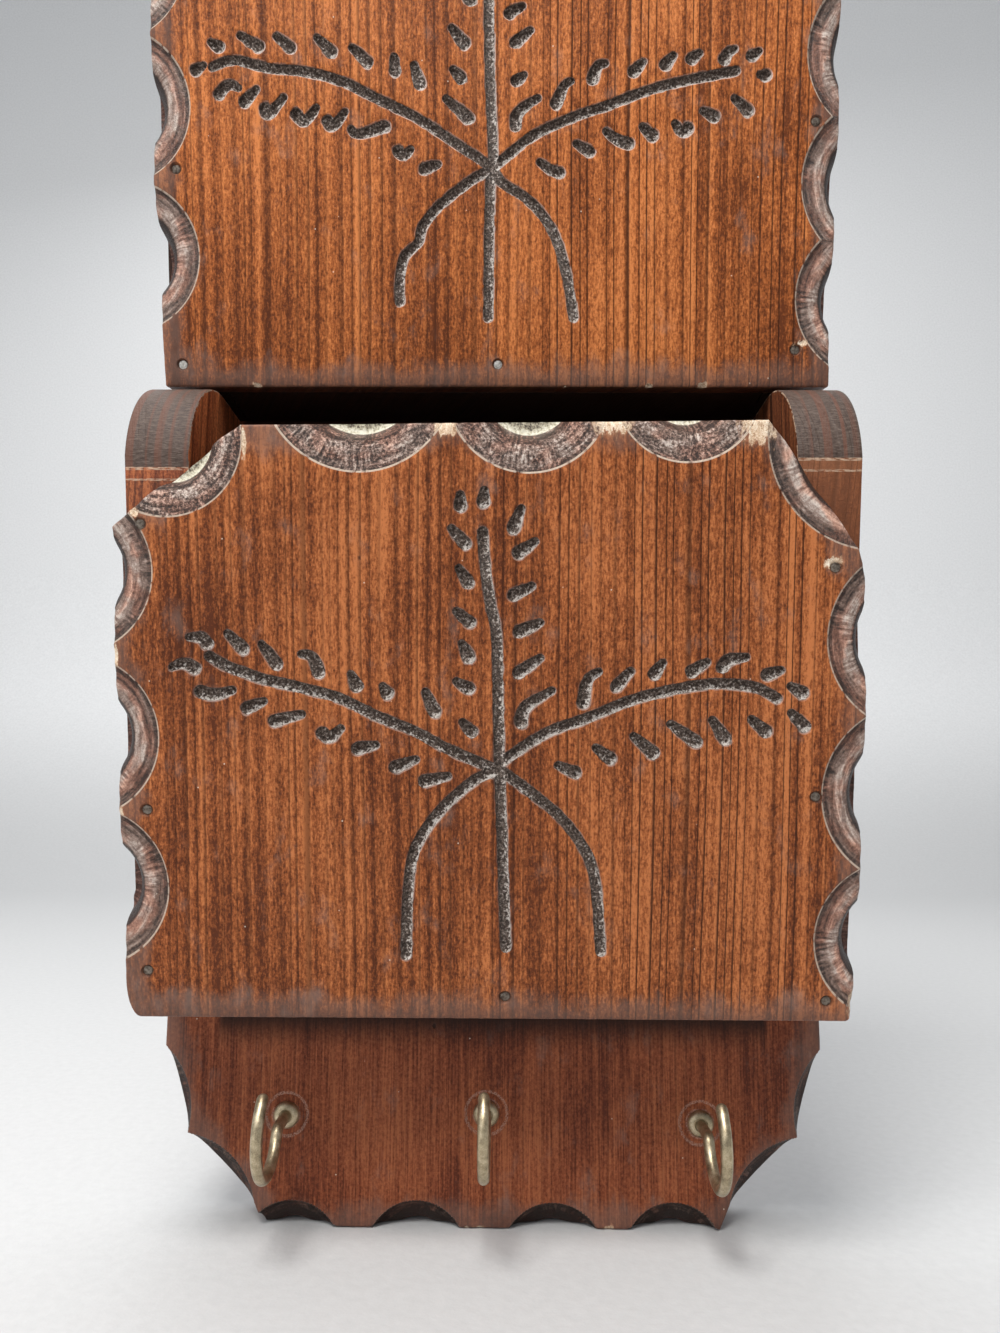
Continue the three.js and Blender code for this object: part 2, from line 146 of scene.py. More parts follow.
UPPER_STEMS = [
    [(-3, 146), (-2.5, 133), (-2, 119.5), (-1.5, 93.5), (-0.5, 70.5), (-1.5, 61), (-2, 22)],
    [(-89.5, 99.5), (-82.5, 101.5), (-71.5, 99), (-60.5, 98), (-48.5, 95), (-37, 89.5), (-25, 84),
     (-13, 76.5), (-0.5, 68.5)],
    [(-0.5, 68.5), (11.5, 78), (23.5, 83.5), (35.5, 87.5), (48, 92), (60, 95), (76, 98)],
    [(-0.5, 68.5), (-7, 65), (-17, 57.5), (-23, 50.5), (-24.5, 45.5), (-29, 41), (-30.5, 34),
     (-30.5, 27)],
    [(-0.5, 68), (2.5, 64), (11.5, 58), (18, 50), (21.5, 41.5), (24, 31.5), (25.5, 22)],
]
UPPER_LEAVES = [
    [(-91, 107.5), (-86.5, 105)], [(-96, 98), (-91.5, 100.5)], [(-81.5, 109.5), (-74, 105)],
    [(-70, 109.5), (-64, 104.5)], [(-57, 109), (-51, 103)], [(-46, 106), (-39.5, 100)],
    [(-32, 103.5), (-31.5, 97)], [(-26, 101), (-23.5, 93)], [(-88.5, 90.5), (-84.5, 94), (-80.5, 92.5)],
    [(-80.5, 88), (-75, 93.5)], [(-73.5, 88), (-72, 85), (-66.5, 91)],
    [(-64, 86), (-60.5, 83), (-56, 88)], [(-54, 84), (-51.5, 81.5), (-47, 86.5)],
    [(-46.5, 81.5), (-43.5, 79), (-34, 81.5)], [(-31.5, 74.5), (-29, 72.5), (-26, 75)],
    [(-23.5, 68), (-17, 70)], [(-9.5, 157), (-9, 151)], [(-2.5, 158.5), (-2.8, 152.5)],
    [(-13, 147), (-8, 141)], [(-12, 136), (-7, 130)], [(-12, 124), (-7, 118.5)],
    [(-14.5, 112), (-9, 105.5)], [(-14, 99.5), (-10, 95)], [(-16.5, 90.5), (-7.5, 83)],
    [(7.5, 153), (5, 146)], [(12, 143), (5.5, 138)], [(4, 127), (10.5, 131)], [(3.5, 115), (9.5, 118)],
    [(5.5, 106), (12, 111)], [(6, 94.5), (10, 97.5)], [(6.5, 80.5), (7.5, 85.5), (14.5, 90.5)],
    [(19, 87), (22, 93.5), (25, 95.5)], [(30.5, 94.5), (32.5, 99.5), (36, 100.5)],
    [(43, 97), (47.5, 101.5)], [(53, 99), (57, 103.5)], [(61, 101), (65.5, 104)],
    [(72, 100.5), (73.5, 103.5), (76.5, 105)], [(80, 102), (84, 104.5)], [(82.5, 97), (86.5, 96.5)],
    [(13.5, 71), (17, 68.5), (21.5, 66.5)], [(25, 76.5), (31, 73)],
    [(34.5, 80.5), (38.5, 77.5), (43.5, 75.5)], [(46, 82), (51, 77.5)],
    [(56.5, 83), (59.5, 79.5), (62, 81.5)], [(65, 86.5), (70.5, 83.5)], [(75, 90.5), (81, 85)],
]

# Chips of bare wood: (x, height, half width, half height, depth)
LOWER_CHIPS = [
    (108.6, 3.5, 2.6, 6.0, 2.2), (-13.6, 173.8, 3.2, 3.0, 0.6), (34.0, 174.8, 5.2, 3.8, 0.6),
    (75.8, 174.2, 5.6, 5.4, 0.8), (-70.6, 170.0, 0.8, 5.4, 0.4), (-109.0, 108.0, 1.4, 3.2, 0.8),
    (-109.0, 62.0, 1.2, 2.0, 0.7), (-102.6, 149.2, 1.9, 1.5, 0.5), (97.2, 135.6, 2.8, 1.8, 0.4),
]
UPPER_CHIPS = [
    (-77.0, 0.4, 1.6, 1.0, 0.8), (50.2, 0.3, 1.3, 0.9, 0.8), (67.5, 0.5, 1.9, 1.2, 0.9),
    (23.0, 0.2, 0.9, 0.6, 0.6), (-70.5, 172.0, 1.4, 4.0, 0.6), (34.4, 173.9, 2.6, 2.8, 0.8),
    (98.8, 14.0, 2.2, 1.4, 0.4),
]
LIP_TONES = [(-10, 26, 50, 18, 0.05)]
LIP_CHIPS = [(-3.6, 0.2, 1.6, 0.9, 0.8), (38.0, 0.3, 1.4, 0.9, 0.8), (-8.0, 0.3, 1.0, 0.7, 0.6)]

# Lighter and darker places of the stain: (x, height, half width, half height, shift of the tone)
LOWER_TONES = [
    (-94, 22, 34, 32, -0.09), (-46, 85, 13, 70, 0.07), (0, 60, 26, 70, -0.05), (62, 85, 36, 80, 0.07),
    (-99, 112, 14, 20, -0.07), (-58, 168, 12, 9, 0.12), (90, 152, 14, 12, 0.05),
]
UPPER_TONES = [
    (-44, 60, 10, 90, 0.07), (44, 60, 12, 100, 0.1), (-22, 35, 8, 60, -0.09), (-90, 8, 30, 26, -0.12),
    (98, 12, 16, 28, -0.12), (22, 50, 8, 40, -0.04), (-104, 22, 7, 30, -0.12),
]

# Brads through the front panels (x, height up the panel)
LOWER_BRADS = {
    "left_1": (-102.0, 14.2), "left_2": (-101.0, 62.8), "left_3": (-100.8, 146.0),
    "right_1": (99.5, 6.2), "right_2": (94.6, 67.6), "right_3": (98.4, 134.1), "floor": (4.3, 6.9),
}
UPPER_BRADS = {
    "left_1": (-101.2, 7.1), "left_2": (-102.0, 68.4), "left_3": (-100.8, 147.0),
    "right_1": (97.1, 12.0), "right_2": (101.8, 82.7), "right_3": (98.4, 134.1), "floor": (1.2, 7.2),
}
BRAD_HEAD_RADIUS = 1.4
BRAD_LENGTH = 25.0
BRAD_RADIUS = 0.8
BRAD_SINK = 0.3
BRAD_DOME = 0.22
PIT_RADIUS = 1.75
BRIGHT_BRADS = (("upper", "left_1"), ("upper", "floor"))
NAIL_HEAD_RADIUS = 2.3
NAIL_RADIUS = 1.1
NAIL_LENGTH = 38.0
NAIL_SINK = 0.3
NAIL_PROUD = 0.25
POINT_ROOM = 0.2
WALL_ROOM = 0.02

# Cup hooks (x, height above the backboard's bottom edge)
HOOKS = {"left": (-67.4, 34.7), "middle": (-1.8, 35.5), "right": (68.3, 32.9)}
HOOK_WIRE_RADIUS = 1.8
HOOK_LOOP_RADIUS = 13.3
HOOK_LOOP_REACH = 26.0
HOOK_LOOP_RISE = 3.6
HOOK_BEND_RADIUS = 3.0
HOOK_TIP_ANGLE = math.radians(117)
HOOK_TIP_STEPS = 5
HOOK_ROOM = 0.03
COLLAR_RADIUS = 4.3
COLLAR_THICKNESS = 2.4
PRESSED_RING_RADIUS = 6.4

# Floor and wall behind, in metres: the floor's front and back, the bend's radius, the wall's top
SWEEP_FRONT = -2.2
SWEEP_START = 1.0
SWEEP_RADIUS = 0.6
SWEEP_TOP = 2.4
SWEEP_HALF_WIDTH = 3.0
SWEEP_DROP = 0.0002

# Camera, fitted to the photograph
CAMERA_PLACE = (0.0050, -0.3511, -0.1253)
CAMERA_YAW = 0.0090
CAMERA_PITCH = 0.1312
CAMERA_ROLL = 0.0049
CAMERA_LENS = 25.96


# Small helpers

def smooth(value, low, high):
    t = np.clip((value - low) / (high - low), 0.0, 1.0)
    return t * t * (3.0 - 2.0 * t)


def random_field(x, y, seed):
    """Smooth random values between 0 and 1, one cell per unit."""
    xi, yi = np.floor(x), np.floor(y)
    fx, fy = x - xi, y - yi
    fx, fy = fx * fx * (3 - 2 * fx), fy * fy * (3 - 2 * fy)

    def corner(dx, dy):
        n = np.sin((xi + dx) * 127.1 + (yi + dy) * 311.7 + seed * 74.7) * 43758.5453
        return n - np.floor(n)

    top = corner(0, 0) * (1 - fx) + corner(1, 0) * fx
    bottom = corner(0, 1) * (1 - fx) + corner(1, 1) * fx
    return top * (1 - fy) + bottom * fy


def curve_through(points, step):
    """Even points on a smooth curve through the given ones."""
    given = np.array(points, float)
    if len(given) == 2:
        count = max(2, int(np.hypot(*(given[1] - given[0])) / step) + 1)
        t = np.linspace(0, 1, count)[:, None]
        return given[0] * (1 - t) + given[1] * t
    padded = np.vstack([2 * given[0] - given[1], given, 2 * given[-1] - given[-2]])
    line = []
    for i in range(1, len(padded) - 2):
        a, b, c, d = padded[i - 1:i + 3]
        count = max(2, int(np.hypot(*(c - b)) / step))
        for t in np.linspace(0, 1, count, endpoint=False):
            line.append(0.5 * ((2 * b) + (c - a) * t + (2 * a - 5 * b + 4 * c - d) * t ** 2
                               + (3 * b - a - 3 * c + d) * t ** 3))
    line.append(given[-1])
    return np.array(line)


def unit(ways):
    """The directions of an array of ways."""
    return ways / np.maximum(np.hypot(ways[:, 0], ways[:, 1]), 1e-9)[:, None]


def distance_to(points, line):
    """Distance from each point to a line of straight pieces, how far along that is, and the way there."""
    best, along, offset = np.full(len(points), 1e9), np.zeros(len(points)), np.zeros((len(points), 2))
    for i, (a, b) in enumerate(zip(line[:-1], line[1:])):
        ab = b - a
        t = np.clip((points - a) @ ab / max(ab @ ab, 1e-9), 0, 1)
        near = points - a - t[:, None] * ab
        away = np.hypot(near[:, 0], near[:, 1])
        nearer = away < best
        along = np.where(nearer, (i + t) / (len(line) - 1), along)
        offset = np.where(nearer[:, None], near, offset)
        best = np.minimum(best, away)
    return best, along, offset


def near_line(points, line, reach):
    """Indices of the points in the line's box, grown by reach, and what distance_to gives for them."""
    low, high = line.min(0) - reach, line.max(0) + reach
    picked = np.nonzero(((points >= low) & (points <= high)).all(1))[0]
    return picked, *distance_to(points[picked], line)


def inside(points, loop):
    """Whether each point lies inside a closed loop."""
    x, y = points[:, 0], points[:, 1]
    result = np.zeros(len(points), bool)
    for a, b in zip(loop, np.roll(loop, -1, axis=0)):
        if a[1] == b[1]:
            continue
        crosses = (a[1] > y) != (b[1] > y)
        result ^= crosses & (x < (b[0] - a[0]) * (y - a[1]) / (b[1] - a[1]) + a[0])
    return result


# Shapes in a board's own plane: x across, y up the board, depth back from its front face

Finish = namedtuple("Finish", "pale crest shade")
Scallop = namedtuple("Scallop", "centre radius profile inward finish")

# How a scallop is finished: pale, 1 for a pale dusty floor and 0 for one darkened by painted shade; the
# strength of a painted highlight across its middle; and painted light or shade over all of it, lighter above
# zero and darker below
TOP_FINISH = Finish(1.0, 0.02, 0.03)
LEFT_CORNER_FINISH = Finish(1.0, 0.1, -0.02)
RIGHT_CORNER_FINISH = Finish(0.0, 0.24, -0.03)
SIDE_FINISH = Finish(0.0, 0.13, -0.01)
# The lip's scallops face down, so painted shade darkens them
LIP_FINISH = Finish(0.0, 0.0, -0.13)


def edge_scallop(x, y, radius, profile, inward, finish):
    return Scallop(np.array([x, y], float), radius, profile, np.array(inward, float), finish)


def corner_scallop(start, end, radius, profile, finish):
    """The scallop whose arris meets both ends of a straight edge, taken clockwise."""
    start, end = np.array(start, float), np.array(end, float)
    half = np.hypot(*(end - start)) / 2
    outward = np.array([start[1] - end[1], end[0] - start[0]])
    outward /= np.hypot(*outward)
    centre = (start + end) / 2 + outward * math.sqrt(radius ** 2 - half ** 2)
    return Scallop(centre, radius, profile, -outward, finish)


def corner_points():
    """Ends of the cut top corners: left tip, left top, right top, right tip."""
    left_run, left_drop, left_wear, _, _ = LEFT_CORNER
    right_run, right_drop, right_wear, _, _ = RIGHT_CORNER
    right_tip = (PANEL_HALF - right_wear, PANEL_LENGTH - right_drop)
    return ((-PANEL_HALF + left_wear, PANEL_LENGTH - left_drop), (-PANEL_HALF + left_run, PANEL_LENGTH),
            (PANEL_HALF - right_run, PANEL_LENGTH + TOP_RISE), right_tip)


def panel_scallops(sides):
    found = []
    for hand, sign in (("left", -1), ("right", 1)):
        for height, reach, radius in sides[hand]:
            middle = sign * (PANEL_HALF + radius - reach)
            found.append(edge_scallop(middle, height, radius, PANEL_PROFILE, (-sign, 0), SIDE_FINISH))
    for x, reach, radius in TOP_SCALLOPS:
        height = PANEL_LENGTH + radius - reach
        found.append(edge_scallop(x, height, radius, PANEL_PROFILE, (0, -1), TOP_FINISH))
    left_tip, left_top, right_top, right_tip = corner_points()
    found.append(corner_scallop(left_tip, left_top, LEFT_CORNER[4], PANEL_PROFILE, LEFT_CORNER_FINISH))
    found.append(corner_scallop(right_top, right_tip, RIGHT_CORNER[4], PANEL_PROFILE, RIGHT_CORNER_FINISH))
    return found


def lip_scallops():
    """Scallops of the backboard's lip and of the crest that mirrors it."""
    _, foot, knee, corner = LIP_QUARTER
    lower = [corner_scallop(knee, foot, LIP_CORNER_RADIUS, LIP_PROFILE, LIP_FINISH)]
    lower.append(corner_scallop(corner, knee, LIP_CORNER_RADIUS, LIP_PROFILE, LIP_FINISH))
    lower += [s._replace(centre=s.centre * (-1, 1), inward=s.inward * (-1, 1)) for s in lower]
    for x, reach, radius in LIP_SCALLOPS:
        lower.append(edge_scallop(x, reach - radius, radius, LIP_PROFILE, (0, 1), LIP_FINISH))
    upper = [s._replace(centre=np.array([s.centre[0], BOARD_HEIGHT - s.centre[1]]), inward=s.inward * (1, -1))
             for s in lower]
    return lower + upper


def scallop_depth(reach, profile):
    """Depth of the moulding at a distance inwards of its arris."""
    line = curve_through(profile, 0.1)
    return np.interp(reach, line[:, 0], line[:, 1])


def ring_points(scallop):
    """Points on the rings where a scallop's profile turns."""
    turns = np.array([reach for reach, _ in scallop.profile], float)
    reaches = np.concatenate([[-0.55, -0.25], turns, (turns[1:] + turns[:-1]) / 2, [turns[-1] + 1.4]])
    points = []
    for reach in reaches:
        radius = scallop.radius - reach
        angles = np.linspace(0, 2 * math.pi, int(2 * math.pi * radius / 1.1), endpoint=False)
        points.append(scallop.centre + radius * np.column_stack([np.cos(angles), np.sin(angles)]))
    return np.vstack(points)


def groove_width(along, taper):
    """Share of a groove's full width along it: a leaf swells towards its lower end."""
    return 1.0 + taper * (0.16 * along - 0.26 * (1 - along) ** 2)


def groove_points(line, half_width, taper):
    """Points along a groove and round its ends."""
    tangent = unit(np.gradient(line, axis=0))
    normal = np.column_stack([-tangent[:, 1], tangent[:, 0]])
    wide = half_width * groove_width(np.linspace(0, 1, len(line)), taper)
    points = [line]
    for f in (0.3, 0.55, 0.76, 0.9, 1.0, 1.12, 1.35):
        for sign in (1, -1):
            points.append(line + normal * (sign * f * wide)[:, None])
        for end, forward, reach in ((line[0], -tangent[0], wide[0]), (line[-1], tangent[-1], wide[-1])):
            side = np.array([-forward[1], forward[0]])
            for angle in np.linspace(-1.4, 1.4, 9):
                points.append((end + (forward * math.cos(angle) + side * math.sin(angle)) * f * reach)[None])
    return np.vstack(points)


def dense(points, step):
    """The same open line with points no further apart than step."""
    line = [np.array(points[0], float)]
    for a, b in zip(points[:-1], points[1:]):
        a, b = np.array(a, float), np.array(b, float)
        count = max(1, int(math.ceil(np.hypot(*(b - a)) / step)))
        for i in range(1, count + 1):
            line.append(a + (b - a) * i / count)
    return line


def bowed(start, end, bow, step):
    """A line from start to end that swells outwards, to the left of its way, by bow."""
    start, end = np.array(start, float), np.array(end, float)
    way = end - start
    side = np.array([way[1], -way[0]]) / np.hypot(*way)
    count = int(np.hypot(*way) / step)
    return [start + way * t + side * bow * 4 * t * (1 - t) for t in np.linspace(0, 1, count + 1)]


def foot_corner(sign, foot):
    """Rounded lower corner of a front panel, from the bottom edge to the side."""
    across, up = foot
    return [np.array([sign * (PANEL_HALF - across * (1 - math.sin(t))), up * (1 - math.cos(t))])
            for t in np.linspace(0, math.pi / 2, 8)]


def worn(points, edges):
    """Side edge points, moved in by the wear at their height."""
    moved = []
    for x, y in points:
        heights, insets = zip(*edges["right" if x > 0 else "left"])
        moved.append(np.array([x - math.copysign(float(np.interp(y, heights, insets)), x), y]))
    return moved


def panel_outline(feet, edges):
    """Front panel's outline, anticlockwise."""
    left_foot, right_foot = foot_corner(-1, feet[0]), foot_corner(1, feet[1])
    left_tip, left_top, right_top, right_tip = corner_points()
    left_side = (-PANEL_HALF, left_tip[1] - LEFT_CORNER[3])
    right_side = (PANEL_HALF, right_tip[1] - RIGHT_CORNER[3])
    right_edge = worn(right_foot + dense([right_foot[-1], right_side], 0.9)[1:], edges)
    left_edge = worn(dense([left_side, left_foot[-1]], 0.9) + left_foot[::-1][1:], edges)
    points = right_edge + dense([right_edge[-1], right_tip], 0.9)[1:]
    points += bowed(right_tip, right_top, 0.8, 1.2)[1:]
    points += dense([right_top, left_top], 1.2)[1:]
    points += bowed(left_top, left_tip, 1.2, 1.2)[1:]
    points += dense([left_tip, left_edge[0]], 0.9)[1:-1] + left_edge
    points += dense([left_edge[-1], right_edge[0]], 1.2)[1:-1]
    return rough_edge(np.array(points), (0, PANEL_LENGTH / 2), 0.2)


def backboard_outline():
    right = list(LIP_QUARTER) + [(x, BOARD_HEIGHT - y) for x, y in reversed(LIP_QUARTER)]
    left = [(-x, y) for x, y in reversed(right)]
    points = dense(right + left + [right[0]], 1.6)[:-1]
    return rough_edge(np.array(points), (0, BOARD_HEIGHT / 2), 0.2)


def rough_edge(loop, middle, amount):
    """Moves an outline inwards by a random amount, as a hand-sawn edge has it."""
    way = unit(np.array(middle) - loop)
    fine = random_field(loop[:, 0] * 0.7 + 31, loop[:, 1] * 0.7, 3)
    broad = random_field(loop[:, 0] * 0.06 + 7, loop[:, 1] * 0.06, 5)
    return loop + way * ((0.55 * fine + 0.45 * broad) * amount + HAIR)[:, None]


# What the finish's fields say away from every cut, and off the face
FAR = {"reach": -2.0, "sweep": 0.0, "pale": 0.0, "crest": 0.0, "shade": 0.0, "carve": 3.0, "lit": 0.0,
       "pit": 3.0, "ring": 3.0, "chip": 3.0, "tone": 0.0, "edge": -8.0}
# Way from a groove's middle to its wall that faces the light, for the grooves' painted glints and shade
LIT_SIDE = np.array([0.62, -0.78])
EDGE_LIMIT = 12.0
SWEEP_SHIFT = 90

# Depths of the small marks, and what the cut face keeps clear of the board's rear
ARRIS_WEAR = 0.1
EDGE_WEAR = 0.45
EDGE_WEAR_WIDTH = 0.7
EDGE_WEAR_LIMIT = 2.0
PIT_DEPTH = 0.75
RING_DEPTH = 0.3
FACE_MARGIN = 0.35
WALL_MARGIN = 0.45
LEAST_AREA = 1e-7

# Rows of mesh points along a board's outline (distance in, least spacing), and how near the others come
EDGE_ROWS = ((0.25, 0.12), (0.7, 0.3))
EDGE_CLEAR = 0.12
REAR_INSET = 0.5


class Plan:
    """What is cut into a board's front face."""

    def __init__(self, outline, thickness, scallops, stems=(), leaves=(), chips=(), pits=(), rings=(),
                 tones=()):
        self.outline = outline
        self.thickness = thickness
        self.rear = thickness - HAIR
        self.scallops = scallops
        self.grooves = [(curve_through(line, 0.75), STEM_WIDTH / 2, STEM_DEPTH, 0.0) for line in stems]
        for line in leaves:
            if line[0][1] < line[-1][1]:
                line = line[::-1]
            curve = trimmed(curve_through(line, 0.5), LEAF_TRIM)
            self.grooves.append((curve, LEAF_WIDTH / 2, LEAF_DEPTH, 1.0))
        self.chips = chips
        self.pits = pits
        self.rings = rings
        self.tones = tones
        self.holes = []

    def feature_points(self):
        """Points that the mesh has to have, most important first, each set with its least spacing."""
        sets = []
        for scallop in self.scallops:
            sets.append((ring_points(scallop), 0.09))
        for line, half_width, _, taper in self.grooves:
            sets.append((groove_points(line, half_width, taper), 0.12))
        for x, y, radius in self.pits:
            sets.append((disc_points((x, y), (0.35, 0.8, 1.0, 1.15, 1.5), radius, 16), 0.1))
        for x, y, radius in self.rings:
            sets.append((disc_points((x, y), (0.86, 0.93, 1.0, 1.07, 1.14), radius, 44), 0.1))
        for x, y, wide, high, _ in self.chips:
            span = np.linspace(-1.25, 1.25, 11)
            grid = np.stack(np.meshgrid(span, span), -1).reshape(-1, 2)
            sets.append((grid * (wide, high) + (x, y), 0.2))
        return sets

    def surface(self, points):
        """Depth of the cut face at each point, and the fields that the finish follows."""
        fields = {name: np.full(len(points), value) for name, value in FAR.items()}
        depth = np.zeros(len(points))
        self.cut_scallops(points, depth, fields)
        self.cut_grooves(points, depth, fields)
        self.cut_marks(points, depth, fields)
        for x, y, wide, high, shift in self.tones:
            away = ((points[:, 0] - x) / wide) ** 2 + ((points[:, 1] - y) / high) ** 2
            fields["tone"] += shift * np.exp(-away)
        edge, _, _ = distance_to(points, np.vstack([self.outline, self.outline[:1]]))
        fields["edge"] = np.minimum(edge, EDGE_LIMIT)
        depth += EDGE_WEAR * np.clip(1 - edge / EDGE_WEAR_WIDTH, 0, 1) ** 2 * (depth < EDGE_WEAR_LIMIT)
        return np.minimum(depth, self.thickness - FACE_MARGIN), fields

    def cut_scallops(self, points, depth, fields):
        for number, scallop in enumerate(self.scallops):
            away = points - scallop.centre
            reach = scallop.radius - np.hypot(away[:, 0], away[:, 1])
            nearer = reach > fields["reach"]
            side = scallop.inward[0] * away[:, 1] - scallop.inward[1] * away[:, 0]
            arc = np.arctan2(side, away @ scallop.inward) * scallop.radius + SWEEP_SHIFT * number
            here = {"reach": reach, "sweep": arc, **scallop.finish._asdict()}
            for name, value in here.items():
                fields[name] = np.where(nearer, value, fields[name])
            worn_arris = ARRIS_WEAR * np.exp(-(np.minimum(reach, 0) / 0.3) ** 2)
            np.maximum(depth, np.maximum(scallop_depth(reach, scallop.profile), worn_arris), out=depth)

    def cut_grooves(self, points, depth, fields):
        for line, half_width, full, taper in self.grooves:
            picked, away, along, offset = near_line(points, line, half_width * 3)
            x, y = points[picked, 0], points[picked, 1]
            wobble = 0.92 + 0.16 * random_field(x * 0.6, y * 0.6, 17)
            q = away / (half_width * wobble * groove_width(along, taper))
            cut = full * np.sqrt(1 - np.minimum(q, 1) ** 2.6)
            cut *= 0.82 + 0.36 * random_field(x * 1.1, y * 1.1, 19)
            cut = np.maximum(cut, ARRIS_WEAR * np.exp(-((q - 1) / 0.12) ** 2))
            depth[picked] = np.maximum(depth[picked], cut)
            # How far each point lies towards the groove wall that faces the light, for painted glints and
            # shade
            lit = offset @ LIT_SIDE / half_width
            fields["lit"][picked] = np.where(q < fields["carve"][picked], lit, fields["lit"][picked])
            fields["carve"][picked] = np.minimum(fields["carve"][picked], q)

    def cut_marks(self, points, depth, fields):
        """Pits over the brads, rings pressed by the hooks' collars, and chips."""
        x, y = points[:, 0], points[:, 1]
        for px, py, radius in self.pits:
            away = np.hypot(x - px, y - py) / radius
            np.maximum(depth, PIT_DEPTH * (1 - smooth(away, 0.85, 1.12)), out=depth)
            fields["pit"] = np.minimum(fields["pit"], away)
        for px, py, radius in self.rings:
            away = np.hypot(x - px, y - py) - radius
            np.maximum(depth, RING_DEPTH * np.exp(-(away / 0.45) ** 2), out=depth)
            fields["ring"] = np.where(np.abs(away) < 3, away, fields["ring"])
        for px, py, wide, high, full in self.chips:
            ragged = 0.75 + 0.5 * random_field(x * 0.9, y * 0.45, 23)
            q = np.hypot((x - px) / wide, (y - py) / high) / ragged
            depth += full * np.clip(1 - q, 0, 1)
            fields["chip"] = np.minimum(fields["chip"], q)


def trimmed(line, length):
    """A line with its two ends cut back."""
    run = np.concatenate([[0], np.cumsum(np.hypot(*np.diff(line, axis=0).T))])
    cut = min(length, run[-1] * 0.42)
    places = np.linspace(cut, run[-1] - cut, len(line))
    return np.column_stack([np.interp(places, run, line[:, 0]), np.interp(places, run, line[:, 1])])


def disc_points(centre, fractions, radius, count):
    angles = np.linspace(0, 2 * math.pi, count, endpoint=False)
    rim = np.column_stack([np.cos(angles), np.sin(angles)])
    return np.vstack([np.array(centre) + rim * radius * f for f in fractions])


def offset_loop(loop, distance):
    """An anticlockwise outline moved inwards."""
    way = unit(np.roll(loop, -1, axis=0) - np.roll(loop, 1, axis=0))
    return loop + np.column_stack([-way[:, 1], way[:, 0]]) * distance


def thinned(sets, loops, limit):
    """Points of all the sets in order, leaving out any that stands too near one already kept."""
    cell = 0.5
    kept, cells = [], {}

    def crowd(px, py, gap):
        span = int(math.ceil(gap / cell))
        cx, cy = int(px // cell), int(py // cell)
        for i in range(cx - span, cx + span + 1):
            for j in range(cy - span, cy + span + 1):
                for qx, qy in cells.get((i, j), ()):
                    if (qx - px) ** 2 + (qy - py) ** 2 < gap * gap:
                        return True
        return False

    def keep(px, py):
        kept.append((px, py))
        cells.setdefault((int(px // cell), int(py // cell)), []).append((px, py))

    for loop in loops:
        for px, py in loop:
            keep(px, py)
    for points, gap in sets:
        for px, py in points[inside(points, limit)]:
            if not crowd(px, py, gap):
                keep(px, py)
    return kept


def triangulated(points, edges, loops, least_area=0.0):
    """Anticlockwise triangles between the points, inside the first loop and outside the others."""
    out = delaunay_2d_cdt([Vector(p) for p in points], edges, [], 0, 1e-5)
    vertices = np.array([tuple(v) for v in out[0]])
    faces = np.array([tuple(f) for f in out[2]])
    middle = vertices[faces].mean(1)
    good = inside(middle, loops[0])
    for hole in loops[1:]:
        good &= ~inside(middle, hole)
    faces = faces[good]
    a, b, c = (vertices[faces[:, i]] for i in range(3))
    area = (b[:, 0] - a[:, 0]) * (c[:, 1] - a[:, 1]) - (b[:, 1] - a[:, 1]) * (c[:, 0] - a[:, 0])
    faces[area < 0] = faces[area < 0][:, ::-1]
    return vertices, faces[np.abs(area) >= least_area]


def loop_edges(loops):
    """Edges round the loops, whose points are numbered one loop after another."""
    edges, start = [], 0
    for loop in loops:
        count = len(loop)
        edges += [(start + i, start + (i + 1) % count) for i in range(count)]
        start += count
    return edges


def rim_edges(faces):
    """Edges that only one triangle has, each in that triangle's direction."""
    rim = {}
    for a, b, c in faces:
        for edge in ((a, b), (b, c), (c, a)):
            if edge[::-1] in rim:
                del rim[edge[::-1]]
            else:
                rim[edge] = True
    return list(rim)


def grid_points(loop, step):
    low, high = loop.min(0), loop.max(0)
    xs = np.arange(low[0] + step / 2, high[0], step)
    ys = np.arange(low[1] + step / 2, high[1], step)
    grid = np.stack(np.meshgrid(xs, ys), -1)
    grid[1::2, :, 0] += step / 2
    return grid.reshape(-1, 2)


